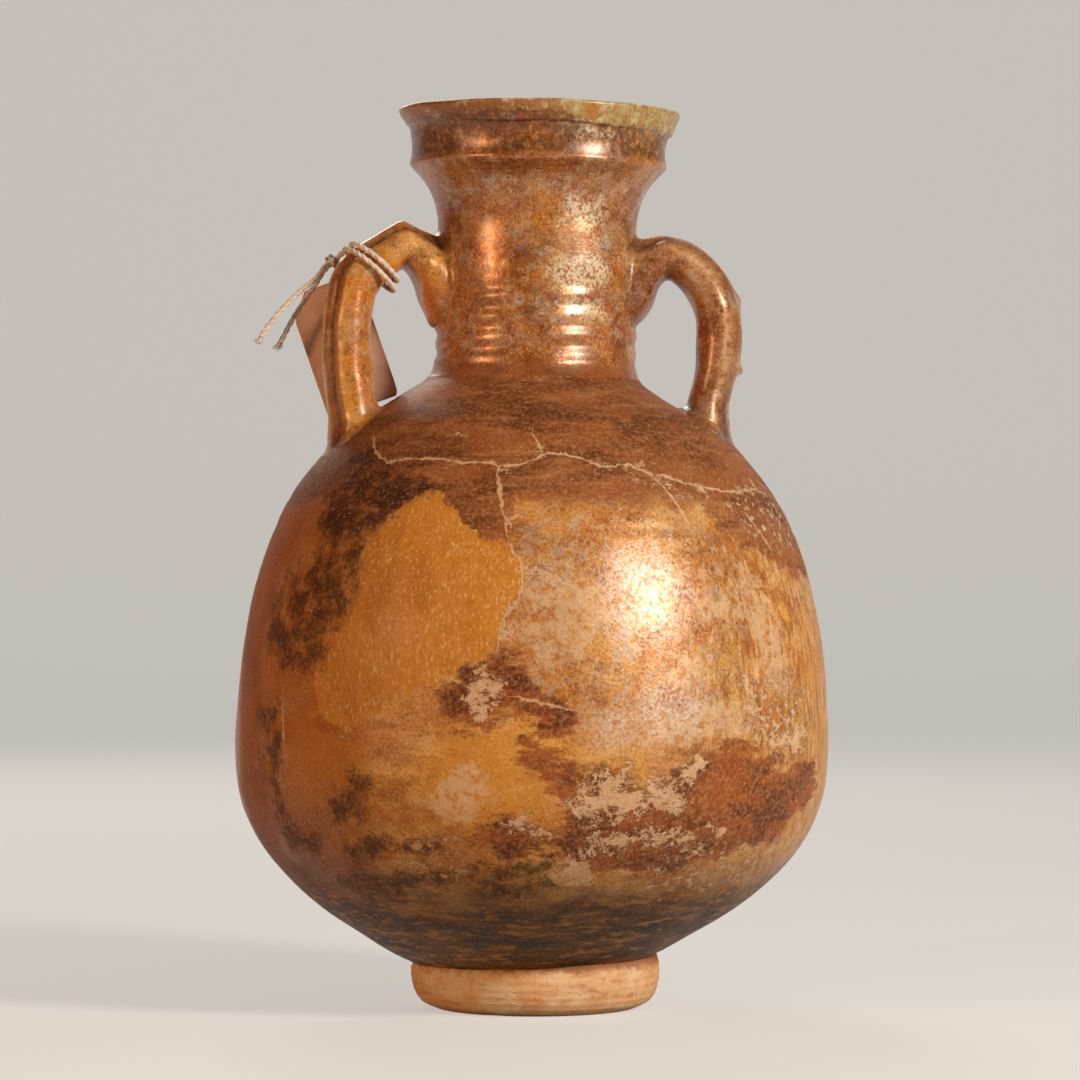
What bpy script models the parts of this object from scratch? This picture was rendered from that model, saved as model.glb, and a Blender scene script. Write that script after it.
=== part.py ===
"""A two-handled glazed earthenware vase with a strung paper tag, in metres, +Z up.

The pot stands on z = 0 with the middle of its belly over the origin. It was thrown upright and
settled a little in the kiln, so every thrown piece passes through one function, settled().
"""
from math import ceil, cos, exp, hypot, pi, radians, sin, tan

import bmesh
import bpy
from mathutils import Matrix, Vector

# Fits and facets. The hidden inner walls use every second or fourth ring
GAP = 0.0003
MERGE = 0.000001
CREASE_ANGLE = radians(40)
SEGMENTS = 48
BODY_RINGS = 30
BODY_INNER_STRIDE = 2
NECK_RINGS = 26
NECK_INNER_STRIDE = 4
FOOT_RINGS = 9
HANDLE_RINGS = 30
SECTION_SIDES = 20

# Thrown pot: the body's heights above the table, then the neck's and the mouth's own heights
BODY_BOTTOM = 0.008
BELLY_HEIGHT = 0.080
BELLY_RADIUS = 0.0923
JOINT_HEIGHT = 0.196
JOINT_RADIUS = 0.0337
NECK_LENGTH = 0.0496
NECK_RADIUS = 0.0308
MOUTH_DEPTH = 0.0337
MOUTH_RADIUS = 0.0439
WALL = 0.005
FLOOR = 0.008
SPRING_HEIGHT = JOINT_HEIGHT + NECK_LENGTH
TOTAL_HEIGHT = SPRING_HEIGHT + MOUTH_DEPTH

# Ridges left by the thrower's fingers round the neck, the first one a little above the joint
RIDGE_COUNT = 4
RIDGE_PITCH = 0.0062
RIDGE_DEPTH = 0.00045
RIDGE_START = 0.0028

# How the pot settled: its lean, the neck's extra lean and how far the bottom slid to one side
BODY_LEAN = radians(0.5)
NECK_LEAN = radians(0.8)
BOTTOM_SLIP = 0.0035

# Foot ring
FOOT_OFFSET = 0.0011
FOOT_RADIUS = 0.0386
FOOT_WIDEST_HEIGHT = 0.0095
FOOT_REST_RADIUS = 0.0310
FOOT_WAIST_RADIUS = 0.0363
FOOT_WAIST_HEIGHT = 0.0145
FOOT_HOLE_RADIUS = 0.0235

# Handles: a strap with two grooves, out from just under the mouth and down to the shoulder
HANDLE_THICKNESS = 0.0142
HANDLE_WIDTH = 0.0194
HANDLE_ROOT_REACH = 0.026
GROOVE_DEPTH = 0.0009
GROOVE_ANGLE = radians(36)
GROOVE_SPREAD = radians(12)
LEFT_AZIMUTH = radians(192)
LEFT_REACH = 0.0366
LEFT_BELOW_MOUTH = 0.00317
RIGHT_AZIMUTH = radians(-4)
RIGHT_REACH = 0.0333
RIGHT_BELOW_MOUTH = 0.00614

# Paper tag, hung from its hole behind the left handle
TAG_WIDTH = 0.0232
TAG_LENGTH = 0.0403
TAG_THICKNESS = 0.0004
TAG_CORNER_WIDTH = 0.0058
TAG_CORNER_LENGTH = 0.0080
TAG_HOLE_RADIUS = 0.0016
TAG_HOLE_INSET = 0.00595
TAG_HOLE_OFFSET = 0.0026
PUNCH_OVERRUN = 0.0006
TAG_LEAN = radians(19.1)
TAG_BEHIND = 0.0016
TAG_INSIDE = 0.00481
TAG_DROP = 0.0235

# String: its turns round the handle, the loop through the tag's hole, the knot and two tails
STRING_RADIUS = 0.00085
STRING_SLACK = 0.0002
STRING_DROOP = 0.0020
STRING_PITCH = 0.0027
STRING_SKEW = 0.0012
STRING_FIRST_ANGLE = radians(232)
STRING_LAST_ANGLE = radians(-372)
STRING_STEP = radians(15)
# Shares of the string's diameter: between its points, and along it between separate stretches
TURN_SPACING_SHARE = 1.5
TAIL_SPACING_SHARE = 2.0
NEIGHBOUR_SHARE = 4.0
KNOT_LENGTH = 0.0052
KNOT_WIDTH = 0.0042
KNOT_LEAN = radians(35)
KNOT_SIDES = 16

# The knot's middle, and the routes of the string's free stretches, measured from the tag's hole
KNOT_PLACE = (-0.0008, -0.0086, 0.0119)
RISING_ROUTE = (
    (0.0005, -0.0076, 0.0096),
    (0.0007, -0.0061, 0.0078),
    (0.0006, -0.0047, 0.0057),
    (0.0004, -0.0035, 0.0037),
    (0.0001, -0.0028, 0.0019),
    (0.0000, -0.0015, 0.0003),
    (0.0000, 0.0000, -0.0002),
    (0.0001, 0.0016, 0.0003),
    (0.0006, 0.0029, 0.0018),
    (0.0022, 0.0034, 0.0042),
    (0.0050, 0.0034, 0.0064),
    (0.0082, 0.0024, 0.0079),
    (0.0113, 0.0009, 0.0089),
)
HOME_ROUTE = (
    (0.0034, -0.0122, 0.0149),
    (0.0019, -0.0092, 0.0138),
)
LONG_TAIL_ROUTE = (
    (-0.0029, -0.0099, 0.0101),
    (-0.0052, -0.0103, 0.0069),
    (-0.0105, -0.0104, 0.0024),
    (-0.0158, -0.0105, -0.0028),
    (-0.0192, -0.0104, -0.0067),
    (-0.0228, -0.0102, -0.0117),
)
SHORT_TAIL_ROUTE = (
    (-0.0027, -0.0073, 0.0096),
    (-0.0061, -0.0069, 0.0046),
    (-0.0092, -0.0065, 0.0001),
    (-0.0131, -0.0063, -0.0060),
    (-0.0170, -0.0063, -0.0134),
)

# Outlines as shares. Lower body: of the belly's radius, and of the height from bottom to belly
LOWER_BODY_SHARES = (
    (0.0, 0.0), (0.26, 0.035), (0.457, 0.132), (0.571, 0.219), (0.684, 0.310),
    (0.803, 0.436), (0.918, 0.610), (0.978, 0.783), (1.0, 1.0),
)
# Shoulder: of the radius from neck joint to belly, and of the height from belly to joint
SHOULDER_SHARES = (
    (0.990, 0.134), (0.944, 0.350), (0.866, 0.512), (0.726, 0.673), (0.564, 0.781),
    (0.392, 0.871), (0.216, 0.928), (0.095, 0.967), (0.0, 1.0),
)
# Neck: of the swell from the neck's radius to the joint's, and of the height up to the spring
NECK_SHARES = ((0.44, 0.055), (0.06, 0.119), (0.0, 0.20), (0.06, 0.585), (0.12, 0.85), (0.03, 1.0))
# Mouth: of the radius from neck to lip, and of the height from the spring to the rim
FLARE_SHARES = (
    (0.053, 0.09), (0.122, 0.183), (0.206, 0.273), (0.313, 0.363), (0.473, 0.448), (0.626, 0.506),
)
COLLAR_SHARES = (
    (0.710, 0.544), (0.702, 0.581), (0.679, 0.637), (0.695, 0.709), (0.748, 0.776),
    (0.847, 0.808), (0.954, 0.860), (1.0, 0.930), (0.985, 0.980), (0.90, 1.0),
)
MOUTH_INNER_SHARES = (
    (0.80, 1.0), (0.718, 0.971), (0.588, 0.869), (0.320, 0.680), (0.015, 0.477), (-0.250, 0.244),
)
# Foot: of the radius from rest to bulge and of the bulge's height, then from bulge to waist
FOOT_BULGE_SHARES = ((0.0, 0.0), (0.62, 0.24), (0.93, 0.62), (1.0, 1.0))
FOOT_WAIST_SHARES = ((0.45, 0.60), (1.0, 1.0))
# Handles' outer faces: reach out from the neck, rise above the landing, thickness and width. The
# landing is the shoulder's height at the station that is the second from the lower end
LANDING_STATION = 2
LEFT_HANDLE_SHARES = (
    (-0.131, 0.950, 2.10, 1.24), (0.000, 0.958, 2.00, 1.22), (0.090, 0.970, 1.62, 1.17),
    (0.160, 0.982, 1.24, 1.12), (0.235, 0.998, 1.08, 1.08), (0.333, 1.012, 1.02, 1.05),
    (0.437, 0.992, 0.98, 1.02), (0.568, 0.950, 0.98, 1.00), (0.735, 0.900, 1.02, 1.00),
    (0.839, 0.853, 1.05, 1.00), (0.924, 0.777, 1.04, 1.00), (0.964, 0.688, 1.03, 1.00),
    (0.997, 0.566, 1.05, 0.98), (1.000, 0.472, 1.06, 0.98), (0.967, 0.257, 1.08, 1.00),
    (0.937, 0.149, 1.12, 1.10), (0.945, 0.021, 1.28, 1.32), (0.962, -0.190, 1.45, 1.50),
)
RIGHT_HANDLE_SHARES = (
    (-0.159, 1.001, 1.95, 1.24), (0.024, 1.007, 1.86, 1.20), (0.156, 1.018, 1.50, 1.14),
    (0.231, 1.022, 1.16, 1.10), (0.315, 1.023, 1.01, 1.06), (0.429, 1.011, 0.96, 1.03),
    (0.571, 0.977, 0.97, 1.00), (0.735, 0.909, 0.98, 1.00), (0.880, 0.812, 1.00, 1.00),
    (0.977, 0.696, 1.01, 0.99), (1.008, 0.556, 0.99, 0.98), (0.998, 0.441, 0.97, 0.98),
    (0.976, 0.342, 0.94, 0.99), (0.922, 0.241, 0.90, 1.03), (0.895, 0.171, 0.92, 1.10),
    (0.907, 0.070, 1.06, 1.25), (0.982, -0.208, 1.42, 1.45),
)
# How far along the handle, each way, the tilt of a section is taken from
TILT_SHARE = 0.09
# The left handle's station that the string sits by, and how far down the way there it sits
SEAT_STATION = 8
SEAT_SHARE = 0.991


class Curve:
    """A smooth curve through points, read by the length of the straight runs between them."""

    def __init__(self, points):
        self.points = [Vector(point) for point in points]
        self.reach = [0.0]
        for start, end in zip(self.points, self.points[1:]):
            self.reach.append(self.reach[-1] + (end - start).length)
        runs = [
            (end - start) / (far - near)
            for start, end, near, far in zip(self.points, self.points[1:], self.reach, self.reach[1:])
        ]
        self.slopes = [runs[0]]
        for index in range(1, len(runs)):
            before = self.reach[index] - self.reach[index - 1]
            after = self.reach[index + 1] - self.reach[index]
            blended = (runs[index - 1] * after + runs[index] * before) / (before + after)
            self.slopes.append(blended)
        self.slopes.append(runs[-1])

    @property
    def length(self):
        return self.reach[-1]

    def at(self, distance):
        """The point at a distance along the curve."""
        last = len(self.points) - 2
        index = next((i for i in range(last) if distance <= self.reach[i + 1]), last)
        run = self.reach[index + 1] - self.reach[index]
        share = (distance - self.reach[index]) / run
        square, cube = share ** 2, share ** 3
        return (
            self.points[index] * (2 * cube - 3 * square + 1)
            + self.slopes[index] * (run * (cube - 2 * square + share))
            + self.points[index + 1] * (3 * square - 2 * cube)
            + self.slopes[index + 1] * (run * (cube - square))
        )

    def spread(self, count, start=0.0, end=None):
        """The points that part a stretch of the curve into count equal steps."""
        end = self.length if end is None else end
        return [self.at(start + (end - start) * step / count) for step in range(count + 1)]


def between(low, high, share):
    return low + (high - low) * share


def settled(point):
    """Where a point of the upright pot lies after the kiln: shifted and tipped a little."""
    x, y, z = point
    above_joint = max(z - JOINT_HEIGHT, 0)
    below_belly = max(BELLY_HEIGHT - z, 0)
    neck_height = TOTAL_HEIGHT - JOINT_HEIGHT
    shift = tan(BODY_LEAN) * (z - BELLY_HEIGHT)
    shift += tan(NECK_LEAN) * above_joint ** 2 / (2 * neck_height)
    shift -= BOTTOM_SLIP * (below_belly / BELLY_HEIGHT) ** 2
    tip = BODY_LEAN + NECK_LEAN * above_joint / neck_height
    return Vector((x + shift, y, z - x * sin(tip)))


def body_stations():
    """Radius and height of the outer surface from the middle of the bottom to the neck joint."""
    lower = [
        (BELLY_RADIUS * radius, between(BODY_BOTTOM, BELLY_HEIGHT, height))
        for radius, height in LOWER_BODY_SHARES
    ]
    shoulder = [
        (between(JOINT_RADIUS, BELLY_RADIUS, radius), between(BELLY_HEIGHT, JOINT_HEIGHT, height))
        for radius, height in SHOULDER_SHARES
    ]
    return lower + shoulder


def neck_stations():
    """Radius and height of the neck from just above the joint to where the mouth springs."""
    return [
        (between(NECK_RADIUS, JOINT_RADIUS, swell), between(JOINT_HEIGHT, SPRING_HEIGHT, height))
        for swell, height in NECK_SHARES
    ]


def mouth_points(shares):
    return [
        Vector((between(NECK_RADIUS, MOUTH_RADIUS, radius), between(SPRING_HEIGHT, TOTAL_HEIGHT, height)))
        for radius, height in shares
    ]


def ridged(point):
    """The point of the neck's outline with the thrower's ridges raised on it."""
    radius, height = point
    turns = (height - JOINT_HEIGHT - RIDGE_START) / RIDGE_PITCH
    if 0 < turns < RIDGE_COUNT:
        radius += RIDGE_DEPTH * (1 - cos(2 * pi * turns)) / 2
    return Vector((radius, height))


def moved_out(outline, distance):
    """The outline moved outwards by a distance, which may differ from point to point."""
    moved = []
    for index, point in enumerate(outline):
        before = outline[max(index - 1, 0)]
        after = outline[min(index + 1, len(outline) - 1)]
        along = (after - before).normalized()
        step = distance(point) if callable(distance) else distance
        spot = point + Vector((along.y, -along.x)) * step
        moved.append(Vector((max(spot.x, 0) if point.x else 0, spot.y)))
    return moved


def wall_at(point):
    """The wall's thickness, which grows to the floor's at the bottom of the body."""
    below = max(BELLY_HEIGHT - point.y, 0) / (BELLY_HEIGHT - BODY_BOTTOM)
    return -between(WALL, FLOOR, below ** 2)


BODY_STATIONS = body_stations()
POT_CURVE = Curve(BODY_STATIONS + neck_stations())
JOINT_AT = POT_CURVE.reach[len(BODY_STATIONS) - 1]
BODY_OUTLINE = POT_CURVE.spread(BODY_RINGS, end=JOINT_AT)
NECK_OUTLINE = [ridged(point) for point in POT_CURVE.spread(NECK_RINGS, start=JOINT_AT)]


def shoulder_height(radius):
    """The height of the shoulder's outer surface at a distance from the axis."""
    for inner, outer in zip(reversed(BODY_OUTLINE), reversed(BODY_OUTLINE[:-1])):
        if inner.x <= radius <= outer.x:
            return between(inner.y, outer.y, (radius - inner.x) / (outer.x - inner.x))
    return BELLY_HEIGHT


def finish(name, colour, roughness, metallic=0.0):
    """A plain finish: one colour, its roughness and how metallic it looks."""
    material = bpy.data.materials.new(name)
    material.use_nodes = True
    shader = material.node_tree.nodes["Principled BSDF"]
    shader.inputs["Base Color"].default_value = (*colour, 1)
    shader.inputs["Roughness"].default_value = roughness
    shader.inputs["Metallic"].default_value = metallic
    material.diffuse_color = (*colour, 1)
    return material


def amber_glaze():
    return finish("amber_glaze", (0.36, 0.15, 0.045), 0.32)


def buff_clay():
    return finish("buff_clay", (0.62, 0.36, 0.21), 0.85)


def manila_card():
    return finish("manila_card", (0.60, 0.33, 0.20), 0.8)


def cotton_string():
    return finish("cotton_string", (0.74, 0.62, 0.52), 0.9)


def placed(name, bm, material, place=None):
    """Closes a shape into a named object with its faces turned out and its round sides smooth."""
    bmesh.ops.recalc_face_normals(bm, faces=bm.faces)
    mesh = bpy.data.meshes.new(name)
    bm.to_mesh(mesh)
    bm.free()
    mesh.shade_smooth()
    mesh.set_sharp_from_angle(angle=CREASE_ANGLE)
    part = bpy.data.objects.new(name, mesh)
    part.matrix_world = place or Matrix()
    bpy.context.collection.objects.link(part)
    if material:
        mesh.materials.append(material)
    return part


def turned(name, outline, material, hollow=False, warp=settled):
    """A piece thrown on the wheel: its outline of radius and height spun round the axis."""
    bm = bmesh.new()
    chain = [bm.verts.new((point[0], 0, point[1])) for point in outline]
    ends = chain + chain[:1] if hollow else chain
    edges = [bm.edges.new(pair) for pair in zip(ends, ends[1:])]
    bmesh.ops.spin(
        bm, geom=chain + edges, cent=(0, 0, 0), axis=(0, 0, 1),
        angle=2 * pi, steps=SEGMENTS, use_merge=True,
    )
    bmesh.ops.remove_doubles(bm, verts=bm.verts, dist=MERGE)
    for vert in bm.verts:
        vert.co = warp(vert.co)
    return placed(name, bm, material)


def as_cutter(part):
    part.hide_render = True
    part.display_type = "WIRE"
    return part


def cut_by(part, cutter):
    """Takes the cutter's shape out of the part."""
    cut = part.modifiers.new("cut_" + cutter.name, "BOOLEAN")
    cut.operation = "DIFFERENCE"
    cut.solver = "EXACT"
    cut.object = cutter


def pot_envelope():
    """The pot's outer shape grown by the fit, which trims the foot ring and the handles' roots."""
    skin = moved_out(BODY_OUTLINE + NECK_OUTLINE[1:] + mouth_points(FLARE_SHARES), GAP)
    top = Vector((0, skin[-1].y))
    return as_cutter(turned("pot_envelope", skin + [top], None))


def make_body(material):
    """The hollow body, open at the neck joint."""
    outer = BODY_OUTLINE
    inner = moved_out(outer, wall_at)[::BODY_INNER_STRIDE]
    rim = Vector((inner[-1].x, outer[-1].y))
    return turned("body", outer + [rim] + inner[-2::-1], material)


def make_neck(material):
    """The neck with its collar and mouth, thrown apart and luted to the shoulder."""
    seat = NECK_OUTLINE[0] + Vector((0, GAP))
    outside = [seat] + NECK_OUTLINE[1:]
    bore = moved_out(NECK_OUTLINE, -WALL)[::NECK_INNER_STRIDE][::-1]
    foot = Vector((bore[-1].x, seat.y))
    lip = mouth_points(FLARE_SHARES + COLLAR_SHARES + MOUTH_INNER_SHARES)
    return turned("neck", outside + lip + bore[:-1] + [foot], material, hollow=True)


def make_foot_ring(material, envelope):
    """The foot: a coil of clay trimmed flat below and shaped to the body above."""
    bulge = [
        (between(FOOT_REST_RADIUS, FOOT_RADIUS, out), FOOT_WIDEST_HEIGHT * up)
        for out, up in FOOT_BULGE_SHARES
    ]
    waist = [
        (between(FOOT_RADIUS, FOOT_WAIST_RADIUS, back), between(FOOT_WIDEST_HEIGHT, FOOT_WAIST_HEIGHT, up))
        for back, up in FOOT_WAIST_SHARES
    ]
    side = Curve(bulge + waist).spread(FOOT_RINGS)
    top = BODY_BOTTOM + FOOT_WAIST_HEIGHT
    inside = [(FOOT_WAIST_RADIUS, top), (FOOT_HOLE_RADIUS, top), (FOOT_HOLE_RADIUS, 0)]
    ring = turned("foot_ring", side + inside, material, hollow=True, warp=shifted_foot)
    cut_by(ring, envelope)
    return ring


def shifted_foot(point):
    return Vector((point[0] + FOOT_OFFSET, point[1], point[2]))


class HandlePath:
    """The run of one handle: its outer face's middle and its section's size, before settling."""

    def __init__(self, azimuth, reach, below_mouth, shares):
        self.out = Vector((cos(azimuth), sin(azimuth), 0))
        self.across = Vector((0, 0, 1)).cross(self.out)
        landing = shoulder_height(NECK_RADIUS + reach * shares[-LANDING_STATION][0])
        self.curve = Curve([
            (
                NECK_RADIUS + reach * out,
                between(landing, SPRING_HEIGHT - below_mouth, up),
                HANDLE_THICKNESS / 2 * thick,
                HANDLE_WIDTH / 2 * wide,
            )
            for out, up, thick, wide in shares
        ])

    def frame(self, distance):
        """Middle, way along, way outwards, half thickness and half width at a distance."""
        radius, height, thick, wide = self.curve.at(distance)
        reach = self.curve.length * TILT_SHARE
        near = self.curve.at(max(distance - reach, 0))
        far = self.curve.at(min(distance + reach, self.curve.length))
        run, climb = far.x - near.x, far.y - near.y
        climb *= min(distance / HANDLE_ROOT_REACH, 1)
        size = hypot(run, climb)
        up = Vector((0, 0, 1))
        along = (self.out * run + up * climb) / size
        outward = (up * run - self.out * climb) / size
        middle = self.out * radius + up * height - outward * thick
        return middle, along, outward, thick, wide

    def around(self, distance, angle):
        """A point on the section at a distance. Angle zero is the outer face's middle."""
        middle, _, outward, thick, wide = self.frame(distance)
        turn = (angle + pi) % (2 * pi) - pi
        off_groove = (abs(turn) - GROOVE_ANGLE) / GROOVE_SPREAD
        groove = GROOVE_DEPTH * exp(-off_groove ** 2)
        return (
            middle
            + outward * (cos(angle) * (thick - groove))
            + self.across * (sin(angle) * (wide - groove))
        )


def make_handle(name, path, material, envelope):
    """A pulled strap: its grooved section swept along the path, with both roots fitted."""
    bm = bmesh.new()
    rings = []
    for step in range(HANDLE_RINGS + 1):
        distance = path.curve.length * step / HANDLE_RINGS
        points = [
            path.around(distance, 2 * pi * side / SECTION_SIDES) for side in range(SECTION_SIDES)
        ]
        rings.append([bm.verts.new(settled(point)) for point in points])
    for near, far in zip(rings, rings[1:]):
        for side in range(SECTION_SIDES):
            other = (side + 1) % SECTION_SIDES
            bm.faces.new((near[side], near[other], far[other], far[side]))
    bm.faces.new(rings[0])
    bm.faces.new(rings[-1])
    handle = placed(name, bm, material)
    cut_by(handle, envelope)
    return handle


def card_outline():
    """The card's corners about its hole, the two lower ones first: two upper ones are clipped."""
    right = TAG_WIDTH / 2 - TAG_HOLE_OFFSET
    left = right - TAG_WIDTH
    top = TAG_HOLE_INSET
    bottom = top - TAG_LENGTH
    shoulder = top - TAG_CORNER_LENGTH
    return (
        (left, bottom), (right, bottom), (right, shoulder), (right - TAG_CORNER_WIDTH, top),
        (left + TAG_CORNER_WIDTH, top), (left, shoulder),
    )


def card_lean():
    return Matrix.Rotation(-TAG_LEAN, 4, "Y")


def hole_place(path):
    """Where the tag's hole hangs: below the left handle's bend, with the card off the shoulder."""
    spots = [path.curve.at(path.curve.length * step / HANDLE_RINGS) for step in range(HANDLE_RINGS)]
    outermost = max(spot.x for spot in spots)
    crest = max(spot.y for spot in spots)
    hung = settled((TAG_INSIDE - outermost, 0, crest - TAG_DROP))
    lower_corners = [card_lean() @ Vector((x, 0, z)) for x, z in card_outline()[:2]]
    held = max(shoulder_height(-hung.x - corner.x) - corner.z for corner in lower_corners)
    return Vector((hung.x, TAG_BEHIND, max(hung.z, held + GAP)))


def make_tag(place, material):
    """The card tag with its round hole, which is its own origin."""
    bm = bmesh.new()
    front = bm.faces.new([bm.verts.new((x, -TAG_THICKNESS / 2, z)) for x, z in card_outline()])
    pushed = bmesh.ops.extrude_face_region(bm, geom=[front])
    moved = [item for item in pushed["geom"] if isinstance(item, bmesh.types.BMVert)]
    bmesh.ops.translate(bm, vec=(0, TAG_THICKNESS, 0), verts=moved)
    tag = placed("tag_card", bm, material, Matrix.Translation(place) @ card_lean())

    punch = bmesh.new()
    bmesh.ops.create_cone(
        punch, cap_ends=True, segments=KNOT_SIDES, radius1=TAG_HOLE_RADIUS,
        radius2=TAG_HOLE_RADIUS, depth=TAG_THICKNESS + 2 * PUNCH_OVERRUN,
    )
    bmesh.ops.rotate(punch, verts=punch.verts, matrix=Matrix.Rotation(pi / 2, 3, "X"))
    cutter = as_cutter(placed("tag_punch", punch, None))
    cutter.parent = tag
    cut_by(tag, cutter)
    return tag


def make_cord(name, points, material, roundness=2):
    """A plain round cord along the points, closed at both ends."""
    curve = bpy.data.curves.new(name, "CURVE")
    curve.dimensions = "3D"
    curve.bevel_depth = STRING_RADIUS
    curve.bevel_resolution = roundness
    curve.use_fill_caps = True
    line = curve.splines.new("POLY")
    line.points.add(len(points) - 1)
    for target, point in zip(line.points, points):
        target.co = (*point, 1)
    line.use_smooth = True
    curve.materials.append(material)
    cord = bpy.data.objects.new(name, curve)
    bpy.context.collection.objects.link(cord)
    return cord


def smooth_route(points, spacing_share):
    """Points on a smooth curve through a route, spaced by a share of the string's diameter."""
    route = Curve(points)
    return route.spread(ceil(route.length / (2 * STRING_RADIUS * spacing_share)))


def string_turns(path):
    """The string's turns round the handle's bend, each a pitch further down the handle."""
    seat = path.curve.reach[SEAT_STATION] * SEAT_SHARE
    middle, along, outward, thick, wide = path.frame(seat)
    standoff = STRING_RADIUS + GAP + STRING_SLACK
    points = []
    for step in range(ceil((STRING_FIRST_ANGLE - STRING_LAST_ANGLE) / STRING_STEP)):
        angle = STRING_FIRST_ANGLE - STRING_STEP * step
        turns = (STRING_FIRST_ANGLE - angle) / (2 * pi)
        hang = STRING_DROOP * max(-cos(angle), 0) * min(turns, 1)
        points.append(settled(
            middle
            + outward * (cos(angle) * (thick + standoff) - hang)
            + path.across * (sin(angle) * (wide + standoff))
            + along * (STRING_SKEW * cos(angle) + STRING_PITCH * (turns - 1))
        ))
    return points


def least_gap_to_itself(points):
    """The smallest clear distance between stretches of the cord that aren't neighbours."""
    reach = [0.0]
    for start, end in zip(points, points[1:]):
        reach.append(reach[-1] + (end - start).length)
    apart = 2 * STRING_RADIUS * NEIGHBOUR_SHARE
    return min(
        (first - second).length
        for i, first in enumerate(points)
        for j, second in enumerate(points[i + 1:], i + 1)
        if reach[j] - reach[i] > apart
    ) - 2 * STRING_RADIUS


def make_string(path, place, material):
    """One unbroken string from the knot through the tag's hole and twice round the handle."""
    rising = [place + Vector(step) for step in RISING_ROUTE]
    home = [place + Vector(step) for step in HOME_ROUTE]
    points = smooth_route(rising + string_turns(path) + home, TURN_SPACING_SHARE)
    print("least gap of the string to itself, mm:", round(least_gap_to_itself(points) * 1000, 3))
    return make_cord("tag_string", points, material, roundness=1)


def make_knot(place, material):
    """The overhand knot's lump, with the four string ends meeting it."""
    bm = bmesh.new()
    bmesh.ops.create_uvsphere(bm, u_segments=KNOT_SIDES, v_segments=KNOT_SIDES // 2, radius=1)
    size = Matrix.Diagonal((KNOT_LENGTH / 2, KNOT_WIDTH / 2, KNOT_WIDTH / 2)).to_4x4()
    middle = place + Vector(KNOT_PLACE)
    tipped = Matrix.Rotation(-KNOT_LEAN, 4, "Y")
    bmesh.ops.transform(bm, verts=bm.verts, matrix=tipped @ size)
    return placed("string_knot", bm, material, Matrix.Translation(middle))


def make_tail(name, route, place, material):
    """One of the two free ends that leave the knot."""
    points = [place + Vector(step) for step in route]
    return make_cord(name, smooth_route(points, TAIL_SPACING_SHARE), material)


def main():
    for part in list(bpy.data.objects):
        bpy.data.objects.remove(part, do_unlink=True)

    glaze = amber_glaze()
    envelope = pot_envelope()
    make_body(glaze)
    make_neck(glaze)
    make_foot_ring(buff_clay(), envelope)
    left = HandlePath(LEFT_AZIMUTH, LEFT_REACH, LEFT_BELOW_MOUTH, LEFT_HANDLE_SHARES)
    right = HandlePath(RIGHT_AZIMUTH, RIGHT_REACH, RIGHT_BELOW_MOUTH, RIGHT_HANDLE_SHARES)
    make_handle("handle_left", left, glaze, envelope)
    make_handle("handle_right", right, glaze, envelope)

    place = hole_place(left)
    cotton = cotton_string()
    make_tag(place, manila_card())
    make_string(left, place, cotton)
    make_knot(place, cotton)
    make_tail("string_tail_long", LONG_TAIL_ROUTE, place, cotton)
    make_tail("string_tail_short", SHORT_TAIL_ROUTE, place, cotton)


main()
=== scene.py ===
"""The looks of a two-handled glazed earthenware vase with a card tag strung on its left handle.

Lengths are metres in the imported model's own frame, unless a name ends in MM or PX. The front is -Y.
PX values are pixels of the 1080 pixel photograph, and azimuths turn from the front to the right.
"""

import bpy
import numpy as np
from mathutils import Matrix, Vector


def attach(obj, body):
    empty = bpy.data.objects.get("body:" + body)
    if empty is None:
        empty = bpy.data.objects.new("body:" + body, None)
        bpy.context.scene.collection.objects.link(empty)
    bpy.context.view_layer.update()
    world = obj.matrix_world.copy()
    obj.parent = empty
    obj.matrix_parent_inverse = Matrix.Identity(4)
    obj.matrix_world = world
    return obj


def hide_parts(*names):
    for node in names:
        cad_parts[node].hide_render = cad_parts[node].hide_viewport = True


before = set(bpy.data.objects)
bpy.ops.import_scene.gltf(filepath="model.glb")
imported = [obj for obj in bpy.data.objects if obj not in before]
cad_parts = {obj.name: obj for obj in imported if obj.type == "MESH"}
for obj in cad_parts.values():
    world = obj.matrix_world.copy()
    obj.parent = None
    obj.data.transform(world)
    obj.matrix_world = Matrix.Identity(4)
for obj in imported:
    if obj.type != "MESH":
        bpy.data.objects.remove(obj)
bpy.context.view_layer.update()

# Camera. It stood level with the middle of the pot, 1.4 m away, behind a long lens, so the pot's
# rings are nearly straight lines. Its lens and place fix which part of the pot each pixel shows.
PHOTO_PX = 1080
LENS_MM = 150
SENSOR_MM = 36
CAMERA_PLACE = Vector((0.0025, -1.406, 0.1456))
FOCAL_PX = PHOTO_PX * LENS_MM / SENSOR_MM

camera_data = bpy.data.cameras.new("camera")
camera_data.lens = LENS_MM
camera_data.sensor_width = SENSOR_MM
camera = bpy.data.objects.new("camera", camera_data)
camera.location = CAMERA_PLACE
camera.rotation_euler = (np.pi / 2, 0, 0)
bpy.context.scene.collection.objects.link(camera)
bpy.context.scene.camera = camera


def seen_at(points):
    """The photograph's pixels at which points of the model appear."""
    depth = points[:, 1] - CAMERA_PLACE.y
    across = PHOTO_PX / 2 + FOCAL_PX * (points[:, 0] - CAMERA_PLACE.x) / depth
    down = PHOTO_PX / 2 - FOCAL_PX * (points[:, 2] - CAMERA_PLACE.z) / depth
    return np.column_stack((across, down))


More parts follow.
